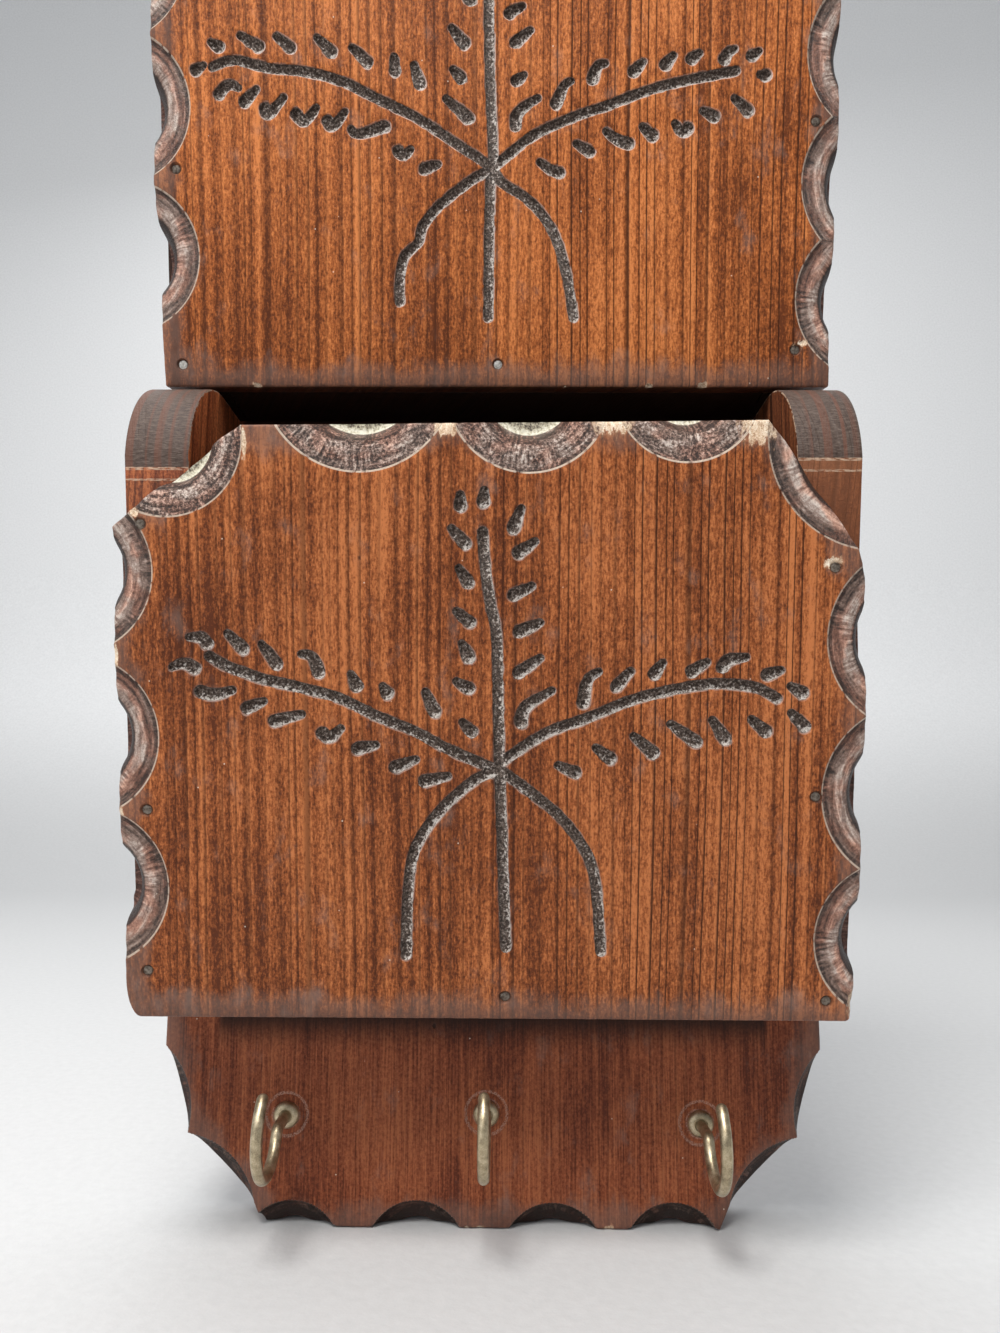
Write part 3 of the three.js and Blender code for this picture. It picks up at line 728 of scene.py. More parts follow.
def carved_board(name, plan, place, step=2.6):
    """A closed board, its face carved to the plan. place turns (x, y, depth) into the frame."""
    outline = plan.outline
    loops = [outline] + plan.holes
    sets = plan.feature_points()
    sets += [(offset_loop(outline, distance), gap) for distance, gap in EDGE_ROWS]
    sets.append((grid_points(outline, step), step * 0.45))
    points = thinned(sets, loops, offset_loop(outline, EDGE_CLEAR))
    flat, faces = triangulated(points, loop_edges(loops), loops, LEAST_AREA)
    depth, fields = plan.surface(flat)

    rim = rim_edges(faces)
    rim_ids = sorted({i for edge in rim for i in edge})
    order = {vertex: i for i, vertex in enumerate(rim_ids)}
    following, leading = dict(rim), {b: a for a, b in rim}
    way = unit(np.array([flat[following[i]] - flat[leading[i]] for i in rim_ids]))
    inset = flat[rim_ids] + np.column_stack([-way[:, 1], way[:, 0]]) * REAR_INSET
    coarse = thinned([(grid_points(outline, 9.0), 4.0)], [inset], offset_loop(outline, 3.0))
    rear_edges = [(order[a], order[b]) for a, b in rim]
    rear, rear_faces = triangulated(coarse, rear_edges, loops)

    base, count = len(flat), len(rim_ids)
    vertices = [(x, y, d) for (x, y), d in zip(flat, depth)]
    vertices += [(*flat[i], max(plan.thickness - WALL_MARGIN, depth[i] + 0.08)) for i in rim_ids]
    vertices += [(x, y, plan.rear) for x, y in rear]
    polygons = [tuple(f) for f in faces]
    for a, b in rim:
        wall_a, wall_b = base + order[a], base + order[b]
        polygons += [(b, a, wall_a, wall_b), (wall_b, wall_a, wall_a + count, wall_b + count)]
    polygons += [tuple(base + count + i for i in reversed(face)) for face in rear_faces]

    mesh = bpy.data.meshes.new(name)
    mesh.from_pydata([place(v) for v in vertices], [], polygons)
    mesh.update()
    extra = len(vertices) - base
    for field, values in fields.items():
        values = np.concatenate([values, np.full(extra, FAR[field])]).astype(np.float32)
        mesh.attributes.new(field, "FLOAT", "POINT").data.foreach_set("value", values)
    return smoothed(name, mesh, 38)


def link(name, mesh):
    piece = bpy.data.objects.new(name, mesh)
    bpy.context.scene.collection.objects.link(piece)
    return piece


def smoothed(name, mesh, degrees):
    """The mesh as a piece, shaded smooth over edges flatter than that angle."""
    mesh.shade_smooth()
    mesh.set_sharp_from_angle(angle=math.radians(degrees))
    return link(name, mesh)


def panel_place(node):
    """Turns a front panel's own millimetres into the frame, from the CAD panel's box."""
    low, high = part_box(node)
    foot_y = high.y
    foot_z = low.z + PANEL_THICKNESS * MM * math.sin(PANEL_SLOPE)
    cos, sin = math.cos(PANEL_SLOPE), math.sin(PANEL_SLOPE)

    def place(point):
        x, height, depth = point
        near_top = min(max((height - PANEL_LENGTH + TOP_LEAN_START) / TOP_LEAN_RUN, 0), 1)
        height += TOP_LEAN * depth * near_top
        back, up = (depth - PANEL_THICKNESS) * MM, height * MM
        return (x * MM, foot_y + back * cos - up * sin, foot_z + back * sin + up * cos)

    return place


def backboard_place():
    low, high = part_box("backboard")

    def place(point):
        x, height, depth = point
        return (x * MM, high.y + (depth - BOARD_THICKNESS) * MM, low.z + height * MM)

    return place


# Materials

class Value:
    """A number, vector or colour in a look's nodes, with plain arithmetic."""

    def __init__(self, look, socket):
        self.look, self.socket = look, socket

    def maths(self, operation, *others):
        return self.look.give("ShaderNodeMath", 0, dict(enumerate((self, *others))), operation=operation)

    def __add__(self, other):
        return self.maths("ADD", other)

    def __sub__(self, other):
        return self.maths("SUBTRACT", other)

    def __rsub__(self, other):
        return self.maths("MULTIPLY_ADD", -1.0, other)

    def __mul__(self, other):
        return self.maths("MULTIPLY", other)

    def __truediv__(self, other):
        return self.maths("DIVIDE", other)


class Look:
    """A material while it is built: a principled shader and the nodes that feed it."""

    def __init__(self, name):
        self.material = bpy.data.materials.new(name)
        self.material.use_nodes = True
        self.tree = self.material.node_tree
        self.tree.nodes.clear()
        self.shader = self.add("ShaderNodeBsdfPrincipled")
        output = self.add("ShaderNodeOutputMaterial")
        self.tree.links.new(self.shader.outputs["BSDF"], output.inputs["Surface"])

    def feed(self, item, inputs):
        for key, value in inputs.items():
            if isinstance(value, Value):
                self.tree.links.new(value.socket, item.inputs[key])
            else:
                item.inputs[key].default_value = value

    def add(self, kind, inputs=None, **settings):
        item = self.tree.nodes.new(kind)
        for key, value in settings.items():
            setattr(item, key, value)
        self.feed(item, inputs or {})
        return item

    def give(self, kind, output, inputs=None, **settings):
        return Value(self, self.add(kind, inputs, **settings).outputs[output])

    def field(self, name):
        return self.give("ShaderNodeAttribute", "Fac", attribute_name=name)

    def metres(self):
        return self.give("ShaderNodeTexCoord", "Object")

    def millimetres(self):
        return self.give("ShaderNodeVectorMath", 0, {0: self.metres(), "Scale": 1000.0}, operation="SCALE")

    def finish(self, colour, roughness, relief, depth, strength, specular=0.5, metallic=0.0):
        """Feeds the shader: relief is the height of the bump, and depth its scale in metres."""
        bump = self.give("ShaderNodeBump", 0, {"Height": relief, "Distance": depth, "Strength": strength})
        self.feed(self.shader, {"Base Color": colour, "Roughness": roughness, "Normal": bump,
                                "Specular IOR Level": specular, "Metallic": metallic})
        return self.material


def step_up(value, low, high):
    """0 below low and 1 above high, smoothly."""
    inputs = {"Value": value, "From Min": low, "From Max": high}
    return value.look.give("ShaderNodeMapRange", "Result", inputs, interpolation_type="SMOOTHSTEP")


def between(value, low, high, soft):
    """1 from low to high, falling to 0 over soft at either side."""
    return step_up(value, low - soft, low) * (1.0 - step_up(value, high, high + soft))


def mixed(factor, first, second, mode="MIX"):
    look = next(v.look for v in (factor, first, second) if isinstance(v, Value))
    return look.give("ShaderNodeMix", 2, {0: factor, 6: first, 7: second}, data_type="RGBA", blend_type=mode)


def ramp(value, stops):
    item = value.look.add("ShaderNodeValToRGB", {"Fac": value})
    elements = item.color_ramp.elements
    for _ in range(len(stops) - 2):
        elements.new(0.5)
    for element, (place, colour) in zip(elements, stops):
        element.position = place
        element.color = (*colour, 1.0)
    return Value(value.look, item.outputs["Color"])


def split(vector):
    item = vector.look.add("ShaderNodeSeparateXYZ", {"Vector": vector})
    return [Value(vector.look, item.outputs[axis]) for axis in "XYZ"]


def scaled(vector, scale):
    return vector.look.give("ShaderNodeMapping", "Vector", {"Vector": vector, "Scale": scale})


def plane(x, y, z=0.0):
    return x.look.give("ShaderNodeCombineXYZ", "Vector", {"X": x, "Y": y, "Z": z})


def noise(vector, scale=1.0, detail=2.0, rough=0.5):
    inputs = {"Vector": vector, "Scale": scale, "Detail": detail, "Roughness": rough}
    return vector.look.give("ShaderNodeTexNoise", "Fac", inputs)


def line_noise(value, scale, detail=0.0):
    inputs = {"W": value, "Scale": scale, "Detail": detail}
    return value.look.give("ShaderNodeTexNoise", "Fac", inputs, noise_dimensions="1D")


def specks(place, spacing, size):
    """Small round spots, one in some of the cells."""
    look = place.look
    item = look.add("ShaderNodeTexVoronoi", {"Vector": place, "Scale": 1.0 / spacing})
    distance, colour = (Value(look, item.outputs[name]) for name in ("Distance", "Color"))
    chosen = look.give("ShaderNodeSeparateColor", "Red", {"Color": colour})
    return (1.0 - step_up(distance, size / spacing * 0.6, size / spacing)) * step_up(chosen, 0.55, 0.6)


def grain(place, ring_spacing, shift, lean):
    """Growth lines, bands, fibre and fine flecks of straight-grained pine."""
    x, y, z = split(place)
    drift = noise(scaled(place, (0.016, 0.016, 0.004)), detail=1.0)
    across = x + drift * 5.0 + z * (0.45 * lean) + y * 0.45 + shift
    saw = (across / ring_spacing + line_noise(across, 0.13) * 1.8).maths("FRACT")
    crisp = step_up(x + drift * 40.0, 0.0, 50.0)
    late = step_up(saw, crisp * 0.2 + 0.52, 0.9) * (1.0 - step_up(saw, 0.93, 1.0))
    strength = step_up(line_noise(across, 0.06), 0.36, 0.6)
    late = late * (strength * 0.5 + 0.5) * (crisp * 0.35 + 0.65)
    band = line_noise(across, 0.3, 3.0)
    fibre = noise(scaled(place, (1.7, 1.7, 0.05)), detail=4.0, rough=0.62)
    speck = noise(scaled(place, (1.5, 1.5, 1.1)), detail=4.0, rough=0.68)
    return late, band, fibre, speck


def wood_colour(place, colours, ring_spacing, shift, lean=0.0, lines=0.9):
    """Stained wood's colour, and the relief of its grain."""
    dark, middle, light = colours
    late, band, fibre, speck = grain(place, ring_spacing, shift, lean)
    blotch = noise(scaled(place, (0.04, 0.04, 0.018)), detail=3.0)
    tone = band * (0.2 + 0.4 * lines) + blotch * 0.5 + fibre * 0.85 + speck * 0.8
    tone = tone - (0.68 + 0.2 * lines) + place.look.field("tone")
    colour = ramp(tone, [(0.3, dark), (0.5, middle), (0.7, light)])
    line_colour = (*(0.35 * v for v in dark), 1)
    return mixed(late * lines, colour, line_colour), speck * 1.3 - late * 0.9 + fibre * 0.8


def moulding_colour(place, wood, floor_start):
    """Colour over the scalloped mouldings: painted shade where they turn and on the deep floors without dust,
    a painted highlight across the middle, painted glints and reflections in the pale speckle, dust on the
    pale floors, and a worn pale arris line that is partly a painted highlight.
    """
    reach, sweep, pale, crest, shade = map(place.look.field, ("reach", "sweep", "pale", "crest", "shade"))
    speckle_noise = noise(place, scale=1.25, detail=4.0, rough=0.75)
    streak = noise(plane(sweep * 0.1, reach * 0.8), detail=4.0, rough=0.65)
    rib = noise(plane(sweep * 0.75, reach * 0.13, 5.0), detail=2.0, rough=0.6)
    ribbed = step_up(noise(plane(sweep * 0.06, reach * 0.1, 9.0)), 0.46, 0.58)
    cut = (streak + (rib - streak) * ribbed - 0.5) * (pale * 0.25 + 0.78) + 0.5
    # Painted shade in a thin line just inside the arris and on the steep wall before the floor, the painted
    # highlight across the middle, and the scallop's painted light or shade over all; the speckle's bright end
    # paints glints
    inner = between(reach, 0.5, 1.3, 0.5)
    middle = between(reach, floor_start * 0.42, floor_start * 0.62, floor_start * 0.14)
    wall = between(reach, floor_start - 2.4, floor_start - 0.5, 0.8)
    tone = cut + (speckle_noise - 0.5) * (pale + 0.5) - inner * 0.08
    tone = tone + middle * crest + wall * (pale * 0.12 - 0.24) + shade
    # The ramp's pale grey top partly stands for the mouldings' glossy reflections, painted into the colour
    colour = ramp(tone, [(0.36, (0.03, 0.015, 0.01)), (0.5, (0.175, 0.108, 0.082)),
                         (0.62, (0.37, 0.262, 0.214)), (0.8, (0.8, 0.69, 0.61))])
    redden = step_up(noise(plane(sweep * 0.09, reach * 0.2, 3.0)), 0.42, 0.6) * (pale * -0.2 + 0.75)
    colour = mixed(redden, colour, mixed(1.0, colour, (1.1, 0.68, 0.52, 1), "MULTIPLY"))
    # Floors of the scallops without dust, darkened by painted shade
    painted_shade_floor = ramp(rib * 0.5 + speckle_noise * 0.5, [(0.38, (0.035, 0.013, 0.008)), (0.52, (0.12, 0.045, 0.028)),
                                          (0.66, (0.34, 0.19, 0.15))])
    dust = speckle_noise + rib * 0.25 + 0.035 - step_up(reach, floor_start + 0.7, floor_start + 2.0) * 0.16
    dusty = ramp(dust, [(0.38, (0.06, 0.048, 0.036)), (0.46, (0.26, 0.22, 0.165)), (0.56, (0.6, 0.54, 0.38)),
                        (0.7, (0.88, 0.84, 0.7))])
    colour = mixed(step_up(reach, floor_start - 0.3, floor_start), colour, mixed(pale, painted_shade_floor, dusty))
    moulded = step_up(reach, -0.06, 0.1)
    colour = mixed(moulded, wood, colour)
    # A pale arris line, partly wear and partly a painted highlight that follows the scallop's painted light
    # or shade
    broken = step_up(noise(plane(sweep * 0.35, 0.0, 7.0), detail=3.0), 0.36, 0.5)
    arris = between(reach, -0.12, 0.26, 0.14) * broken * (shade * 5.0 + 0.8)
    return mixed(arris, colour, (0.78, 0.63, 0.5, 1)), moulded, (cut * 4.5 + speckle_noise * 5.0) * moulded


def groove_colour(place, wood, outline):
    """Colour over the carved grooves, with painted glints on the walls that face the light, painted shade on
    those facing away, and a pale rim that is partly wear and partly a painted highlight, brighter on the side
    facing the light.
    """
    carve, side = place.look.field("carve"), place.look.field("lit")
    groove = 1.0 - step_up(carve, 0.94, 1.03)
    pitted = noise(place, scale=1.4, detail=4.0, rough=0.72)
    gleam = noise(place, scale=0.75, detail=3.0, rough=0.6) * 0.55 + pitted * 0.45
    # Painted glints on the walls facing the light, painted shade on those facing away
    lit = gleam * 4.2 + side - 1.95
    glint = step_up(lit, 0.42, 0.75)
    shaded = 1.0 - step_up(lit, -0.8, 0.0)
    inside = ramp(pitted + 0.012 + glint * 0.15 - shaded * 0.05,
                  [(0.38, (0.028, 0.017, 0.012)), (0.5, (0.1, 0.067, 0.051)), (0.6, (0.3, 0.235, 0.195)),
                   (0.7, (0.85, 0.78, 0.72))])
    colour = mixed(groove, wood, inside)
    # The pale rim: broken like wear, and a painted highlight that is brighter on the side facing the light
    rim_wear_and_highlight = step_up(noise(scaled(place, (0.25, 0.25, 0.18)), detail=2.0), 0.38, 0.54)
    rim = between(carve, 0.98, 1.12, 0.08) * rim_wear_and_highlight * (step_up(side, -0.7, 0.7) * 0.75 + 0.25)
    return mixed(rim * outline, colour, (0.62, 0.45, 0.38, 1)), groove, pitted * groove


def damage_colour(place, wood):
    """Colour with pressed rings, nail pits, chips of bare wood, worm holes and fluff."""
    look = place.look
    speckle_noise = noise(place, scale=2.6, detail=3.0, rough=0.7)
    pressed = between(look.field("ring"), 0.1, 0.7, 0.35) * step_up(speckle_noise, 0.42, 0.58)
    colour = mixed(pressed * 0.6, wood, (0.5, 0.34, 0.27, 1))
    pit = 1.0 - step_up(look.field("pit"), 0.95, 1.3)
    colour = mixed(pit * 0.6, colour, (0.05, 0.026, 0.018, 1))
    torn = noise(scaled(place, (0.6, 0.6, 0.24)), detail=5.0, rough=0.7)
    chip = torn * 3.2 + look.field("chip") - 0.4
    bare = ramp(torn * 0.5 + speckle_noise * 0.5, [(0.36, (0.3, 0.15, 0.08)), (0.48, (0.72, 0.52, 0.35)),
                                          (0.6, (0.92, 0.84, 0.7))])
    colour = mixed(0.55 - step_up(chip, 1.8, 2.5) * 0.55, colour, (0.62, 0.33, 0.18, 1))
    colour = mixed(1.0 - step_up(chip, 1.95, 2.15), colour, bare)
    holes = specks(scaled(place, (1, 0.2, 0.6)), 17.0, 0.7)
    colour = mixed(holes * 0.85, colour, (0.02, 0.008, 0.005, 1))
    fluff = specks(scaled(place, (1, 0.2, 1)), 7.0, 0.27)
    return mixed(fluff * 0.75, colour, (0.78, 0.68, 0.56, 1)), holes


def pocket_shadow(place, low, high, half_width):
    """How much painted shadow a point on the backboard's front gets, inside the pockets and just under the
    lower one.
    """
    x, y, z = split(place)
    face = 1.0 - step_up(y, -16.0, -12.0)
    return between(z, low, high, 13.0) * between(x, -half_width, half_width, 3.0) * face


def stained_pine(name, colours, profile, outline, ring_spacing, shift, lean=0.0, lines=0.9, painted_shadow=None):
    """Stained board with its mouldings, carving, chips and pits; the last argument, if given, holds
    pocket_shadow's limits for painted shadow on the backboard.
    """
    look = Look(name)
    place = look.millimetres()
    colour, relief = wood_colour(place, colours, ring_spacing, shift, lean, lines)
    smudge = noise(scaled(place, (0.12, 0.12, 0.07)), detail=4.0, rough=0.6)
    worn_edge = smudge * -11.0 + look.field("edge") * 0.62 + 5.2
    colour = mixed(0.55 - step_up(worn_edge, 0.0, 7.0) * 0.55, colour, (0.05, 0.022, 0.016, 1))
    film = step_up(smudge, 0.56, 0.72) * 0.1 + between(worn_edge, -1.0, 2.0, 4.0) * 0.14
    colour = mixed(film, colour, (0.5, 0.36, 0.3, 1))
    if painted_shadow:
        # Painted shadow: near black on the backboard inside the pockets and just under the lower panel
        colour = mixed(pocket_shadow(place, *painted_shadow) * 0.93, colour, (0.012, 0.005, 0.003, 1))
    colour, moulded, moulded_relief = moulding_colour(place, colour, profile[-3][0])
    colour, groove, groove_relief = groove_colour(place, colour, outline)
    colour, holes = damage_colour(place, colour)
    relief = relief + moulded_relief + groove_relief * 11.0 - holes * 1.5
    cut = moulded.maths("MAXIMUM", groove)
    return look.finish(colour, cut * -0.06 + 0.42, relief, 0.00016, 0.9, specular=cut * 0.3 + 0.15)


def pocket_pine(name):
    """Darker pine of the pockets' sides and floors, with open end grain on the rounded tops, painted shadow
    deep inside the pockets and painted light on the left-hand boards.
    """
    look = Look(name)
    place = look.millimetres()
    x, _, _ = split(place)
    drop, front, arris, outer = map(look.field, ("drop", "front", "arris", "outer"))
    colours = ((0.045, 0.012, 0.006), (0.13, 0.038, 0.015), (0.26, 0.09, 0.035))
    wood, relief = wood_colour(place, colours, 2.7, 40.0)
    pores = noise(scaled(place, (0.5, 2.4, 2.4)), detail=4.0, rough=0.65)
    end = ramp(pores, [(0.32, (0.045, 0.028, 0.022)), (0.5, (0.088, 0.06, 0.048)),
                       (0.68, (0.15, 0.112, 0.092))])
    end = mixed(step_up(line_noise(x, 0.35, 2.0), 0.5, 0.66) * 0.5, end, (0.17, 0.062, 0.036, 1))
    worn_wood = ramp(pores, [(0.35, (0.3, 0.17, 0.1)), (0.6, (0.68, 0.52, 0.38))])
    # Painted light: wood left of the middle is brightened, as the left boards' inner faces get little lamp
    # light; the left front edges get darker colours than the right's
    right = step_up(x, -1.0, 1.0)
    wood = mixed(1.0 - right, wood, (3.2, 2.9, 2.6, 1), "MULTIPLY")
    below = mixed(right, (0.045, 0.02, 0.014, 1), (0.24, 0.085, 0.035, 1))
    band = mixed(right, (0.1, 0.024, 0.014, 1), (0.3, 0.12, 0.055, 1))
    face = mixed(0.45, mixed(step_up(drop, 3.3, 3.7), band, below), wood)
    face = mixed(step_up(drop, -0.3, 0.0), end, face)
    seams = between(drop, -0.1, 0.5, 0.25) + between(drop, 3.2, 3.6, 0.25)
    face = mixed(seams * step_up(pores, 0.38, 0.52) * 0.6, face, worn_wood)
    frayed = step_up(noise(place, scale=0.5, detail=3.0, rough=0.6), 0.44, 0.56)
    colour = mixed(arris * frayed, mixed(front, wood, face), worn_wood)
    # Painted shadow: near black on the inner faces from 60 to 90 mm below a board's seam downwards
    painted_shadow = step_up(drop, 60.0, 90.0) * (1.0 - outer)
    colour = mixed(painted_shadow * 0.9, colour, (0.012, 0.006, 0.004, 1))
    return look.finish(colour, pores * 0.25 + 0.4, relief + pores * front * 1.4, 0.00015, 0.8, specular=0.22)


def aged_brass(name):
    look = Look(name)
    place = look.millimetres()
    cloud = noise(place, scale=0.35, detail=4.0, rough=0.6)
    tone = noise(place, scale=3.0, detail=3.0, rough=0.7) * 0.4 + cloud * 0.6
    colour = ramp(tone, [(0.3, (0.14, 0.115, 0.075)), (0.5, (0.45, 0.37, 0.24)), (0.72, (0.8, 0.69, 0.5))])
    return look.finish(colour, cloud * 0.3 + 0.25, tone, 0.00012, 0.6, metallic=0.9)


def old_steel(name, dark, light):
    look = Look(name)
    cloud = noise(look.millimetres(), scale=1.2, detail=4.0, rough=0.65)
    colour = ramp(cloud, [(0.35, dark), (0.65, light)])
    return look.finish(colour, cloud * 0.3 + 0.3, cloud, 0.0001, 0.6, metallic=0.75)


def backdrop(name):
    """Pale felt, a little darker on the floor, which the lamps reach better."""
    look = Look(name)
    place = look.metres()
    felt = noise(place, scale=260.0, detail=3.0, rough=0.6)
    _, _, height = split(place)
    wall = ramp(felt, [(0.3, (0.84, 0.845, 0.85)), (0.7, (0.92, 0.925, 0.93))])
    floor = mixed(felt, (0.55, 0.555, 0.56, 1), (0.63, 0.635, 0.64, 1))
    colour = mixed(1.0 - step_up(height, -0.26, 0.1), wall, floor)
    return look.finish(colour, 0.95, felt, 0.0004, 0.5, specular=0.1)


# Pieces

def finish_piece(piece, material, slot, *nodes):
    piece.data.materials.append(material)
    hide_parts(*nodes)
    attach(piece, "root")
    return piece


Panel = namedtuple("Panel", "sides feet edges stems leaves chips tones brads material")


def make_front_panel(level, panel):
    node = f"{level}_front_panel"
    pits = [(x, y, PIT_RADIUS) for x, y in panel.brads.values()]
    plan = Plan(panel_outline(panel.feet, panel.edges), PANEL_THICKNESS, panel_scallops(panel.sides),
                panel.stems, panel.leaves, panel.chips, pits, tones=panel.tones)
    piece = carved_board(f"{level}_carved_panel", plan, panel_place(node))
    return finish_piece(piece, panel.material, "stained_pine", node)


def make_backboard(material):
    rings = [(x, y, PRESSED_RING_RADIUS) for x, y in HOOKS.values()]
    plan = Plan(backboard_outline(), BOARD_THICKNESS, lip_scallops(), chips=LIP_CHIPS, rings=rings,
                tones=LIP_TONES)
    angles = np.linspace(0, 2 * math.pi, 32, endpoint=False)
    hole = np.column_stack([np.cos(angles), np.sin(angles)]) * HANGING_HOLE_RADIUS
    plan.holes = [hole + (0, BOARD_HEIGHT - HANGING_HOLE_DROP)]
    plan.rear = BOARD_THICKNESS - NAIL_PROUD
    piece = carved_board("scalloped_backboard", plan, backboard_place(), step=4.0)
    return finish_piece(piece, material, "stained_pine", "backboard")


def extruded(name, profile, x_low, x_high, arris):
    """A board with its outline in (y, z) metres, extruded across x, with softened arrises."""
    bm = bmesh.new()
    left = [bm.verts.new((x_low, y, z)) for y, z in profile]
    right = [bm.verts.new((x_high, y, z)) for y, z in profile]
    bm.faces.new(left)
    bm.faces.new(list(reversed(right)))
    count = len(profile)
    for i in range(count):
        bm.faces.new((left[i], right[i], right[(i + 1) % count], left[(i + 1) % count]))
    bmesh.ops.recalc_face_normals(bm, faces=bm.faces)
    edges = [e for e in bm.edges if e.calc_face_angle(0) > math.radians(30)]
    bmesh.ops.bevel(bm, geom=edges, offset=arris, segments=2, profile=0.6, affect="EDGES")
    mesh = bpy.data.meshes.new(name)
    bm.to_mesh(mesh)
    bm.free()
    return smoothed(name, mesh, 40)


def side_profile(node):
    """A side's outline in (y, z), with its rounded top, worked out from the CAD side's box."""
    low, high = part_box(node)
    round_radius = SIDE_ROUND_RADIUS * MM
    depth_at_floor = POCKET_DEPTH_AT_FLOOR * MM
    face = high.y + SIDE_BOARD_GAP * MM
    round_start = high.z - round_radius
    front = face - depth_at_floor - (round_start - low.z) * math.tan(PANEL_SLOPE)
    points = [(high.y, low.z), (face - depth_at_floor, low.z), (front, round_start)]
    for angle in np.linspace(0, math.pi / 2, 22)[1:]:
        points.append((front + round_radius * (1 - math.cos(angle)),
                       round_start + round_radius * math.sin(angle)))
    points.append((high.y, high.z))
    return points, low, high


def mark_faces(mesh, top, seam, outward):
    """Marks a pocket board's front faces, arrises and outer face, and each point's drop below its seam."""
    normals = [abs(polygon.normal.x) for polygon in mesh.polygons]
    marks = {"front": [float(n < 0.3) for n in normals],
             "arris": [float(0.3 <= n < 0.97) for n in normals],
             "outer": [float(polygon.normal.dot(outward) > 0.6) for polygon in mesh.polygons]}
    for key, values in marks.items():
        mesh.attributes.new(key, "FLOAT", "FACE").data.foreach_set("value", values)
    drop = [(top - vertex.co.z) / MM - seam for vertex in mesh.vertices]
    mesh.attributes.new("drop", "FLOAT", "POINT").data.foreach_set("value", drop)


def make_side(level, hand, material):
    node = f"{level}_{hand}_side"
    profile, low, high = side_profile(node)
    piece = extruded(f"{level}_{hand}_side_board", profile, low.x, high.x, 0.5 * MM)
    mark_faces(piece.data, high.z, END_GRAIN_DROP[hand], Vector((-1 if hand == "left" else 1, 0, 0)))
    return finish_piece(piece, material, "pocket_pine", node)


def make_floor(level, material):
    node = f"{level}_floor_board"
    low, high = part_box(node)
    front_low = high.y + (SIDE_BOARD_GAP - POCKET_DEPTH_AT_FLOOR) * MM
    profile = [(high.y, low.z), (front_low, low.z), (low.y, high.z), (high.y, high.z)]
    piece = extruded(f"{level}_floor", profile, low.x, high.x, 0.3 * MM)
    # A seam far above puts all of the floor in painted shadow, save the lower floor's underside
    mark_faces(piece.data, high.z, -100.0, Vector((0, 0, -1 if level == "lower" else 0)))
    return finish_piece(piece, material, "pocket_pine", node)


def ring_mesh(name, rings, degrees):
    """A closed piece through rings of points, each with the same number of them."""
    sides = len(rings[0])
    vertices = [point for ring in rings for point in ring]
    faces = []
    for start in range(0, len(vertices) - sides, sides):
        for i in range(sides):
            j = (i + 1) % sides
            faces.append((start + i, start + j, start + sides + j, start + sides + i))
    faces += [tuple(reversed(range(sides))), tuple(range(len(vertices) - sides, len(vertices)))]
    mesh = bpy.data.meshes.new(name)
    mesh.from_pydata(vertices, [], faces)
    bm = bmesh.new()
    bm.from_mesh(mesh)
    bmesh.ops.recalc_face_normals(bm, faces=bm.faces)
    bm.to_mesh(mesh)
    bm.free()
    return smoothed(name, mesh, degrees)


def lathed(name, profile, sides, place):
    """Turns (radius, along) in millimetres round an axis; place turns (a, b, along) into the frame."""
    angles = [2 * math.pi * i / sides for i in range(sides)]
    rings = [[place((radius * math.cos(a), radius * math.sin(a), along)) for a in angles]
             for radius, along in profile]
    return ring_mesh(name, rings, 35)


def nail_profile(head_radius, shank_radius, length, dome):
    """Domed head and pointed shank; along runs from the head into the wood."""
    head = [(0.02, 0.0), (head_radius * 0.45, dome * 0.1), (head_radius * 0.8, dome * 0.45),
            (head_radius, dome)]
    under = [(head_radius, dome + 0.4), (shank_radius * 1.2, dome + 0.75), (shank_radius, dome + 1.2)]
    return head + under + [(shank_radius, length - 2 * shank_radius), (0.05, length)]


def make_brads(level, brads, bright, stained):
    place = panel_place(f"{level}_front_panel")
    for label, (x, height) in brads.items():

        def into_panel(point, x=x, height=height):
            a, b, along = point
            return place((x + a, height + b, BRAD_SINK + HAIR + along))

        profile = nail_profile(BRAD_HEAD_RADIUS, BRAD_RADIUS, BRAD_LENGTH - POINT_ROOM, BRAD_DOME)
        piece = lathed(f"{level}_brad_{label}", profile, 16, into_panel)
        steel = bright if (level, label) in BRIGHT_BRADS else stained
        finish_piece(piece, steel, "old_steel", f"{level}_front_brad_{label}")


def make_back_nails(level, material):
    labels = [f"left_{i}" for i in (1, 2, 3)] + [f"right_{i}" for i in (1, 2, 3)] + ["floor_1", "floor_2"]
    for label in labels:
        node = f"{level}_back_nail_{label}"
        low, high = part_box(node)
        x, z = (low.x + high.x) / 2, (low.z + high.z) / 2

        def into_board(point, x=x, z=z, rear=high.y):
            a, b, along = point
            return (x + a * MM, rear + (NAIL_SINK - WALL_ROOM - along) * MM, z + b * MM)

        profile = nail_profile(NAIL_HEAD_RADIUS, NAIL_RADIUS, NAIL_LENGTH - POINT_ROOM, NAIL_PROUD)
        piece = lathed(f"{level}_rear_nail_{label}", profile, 16, into_board)
        finish_piece(piece, material, "old_steel", node)


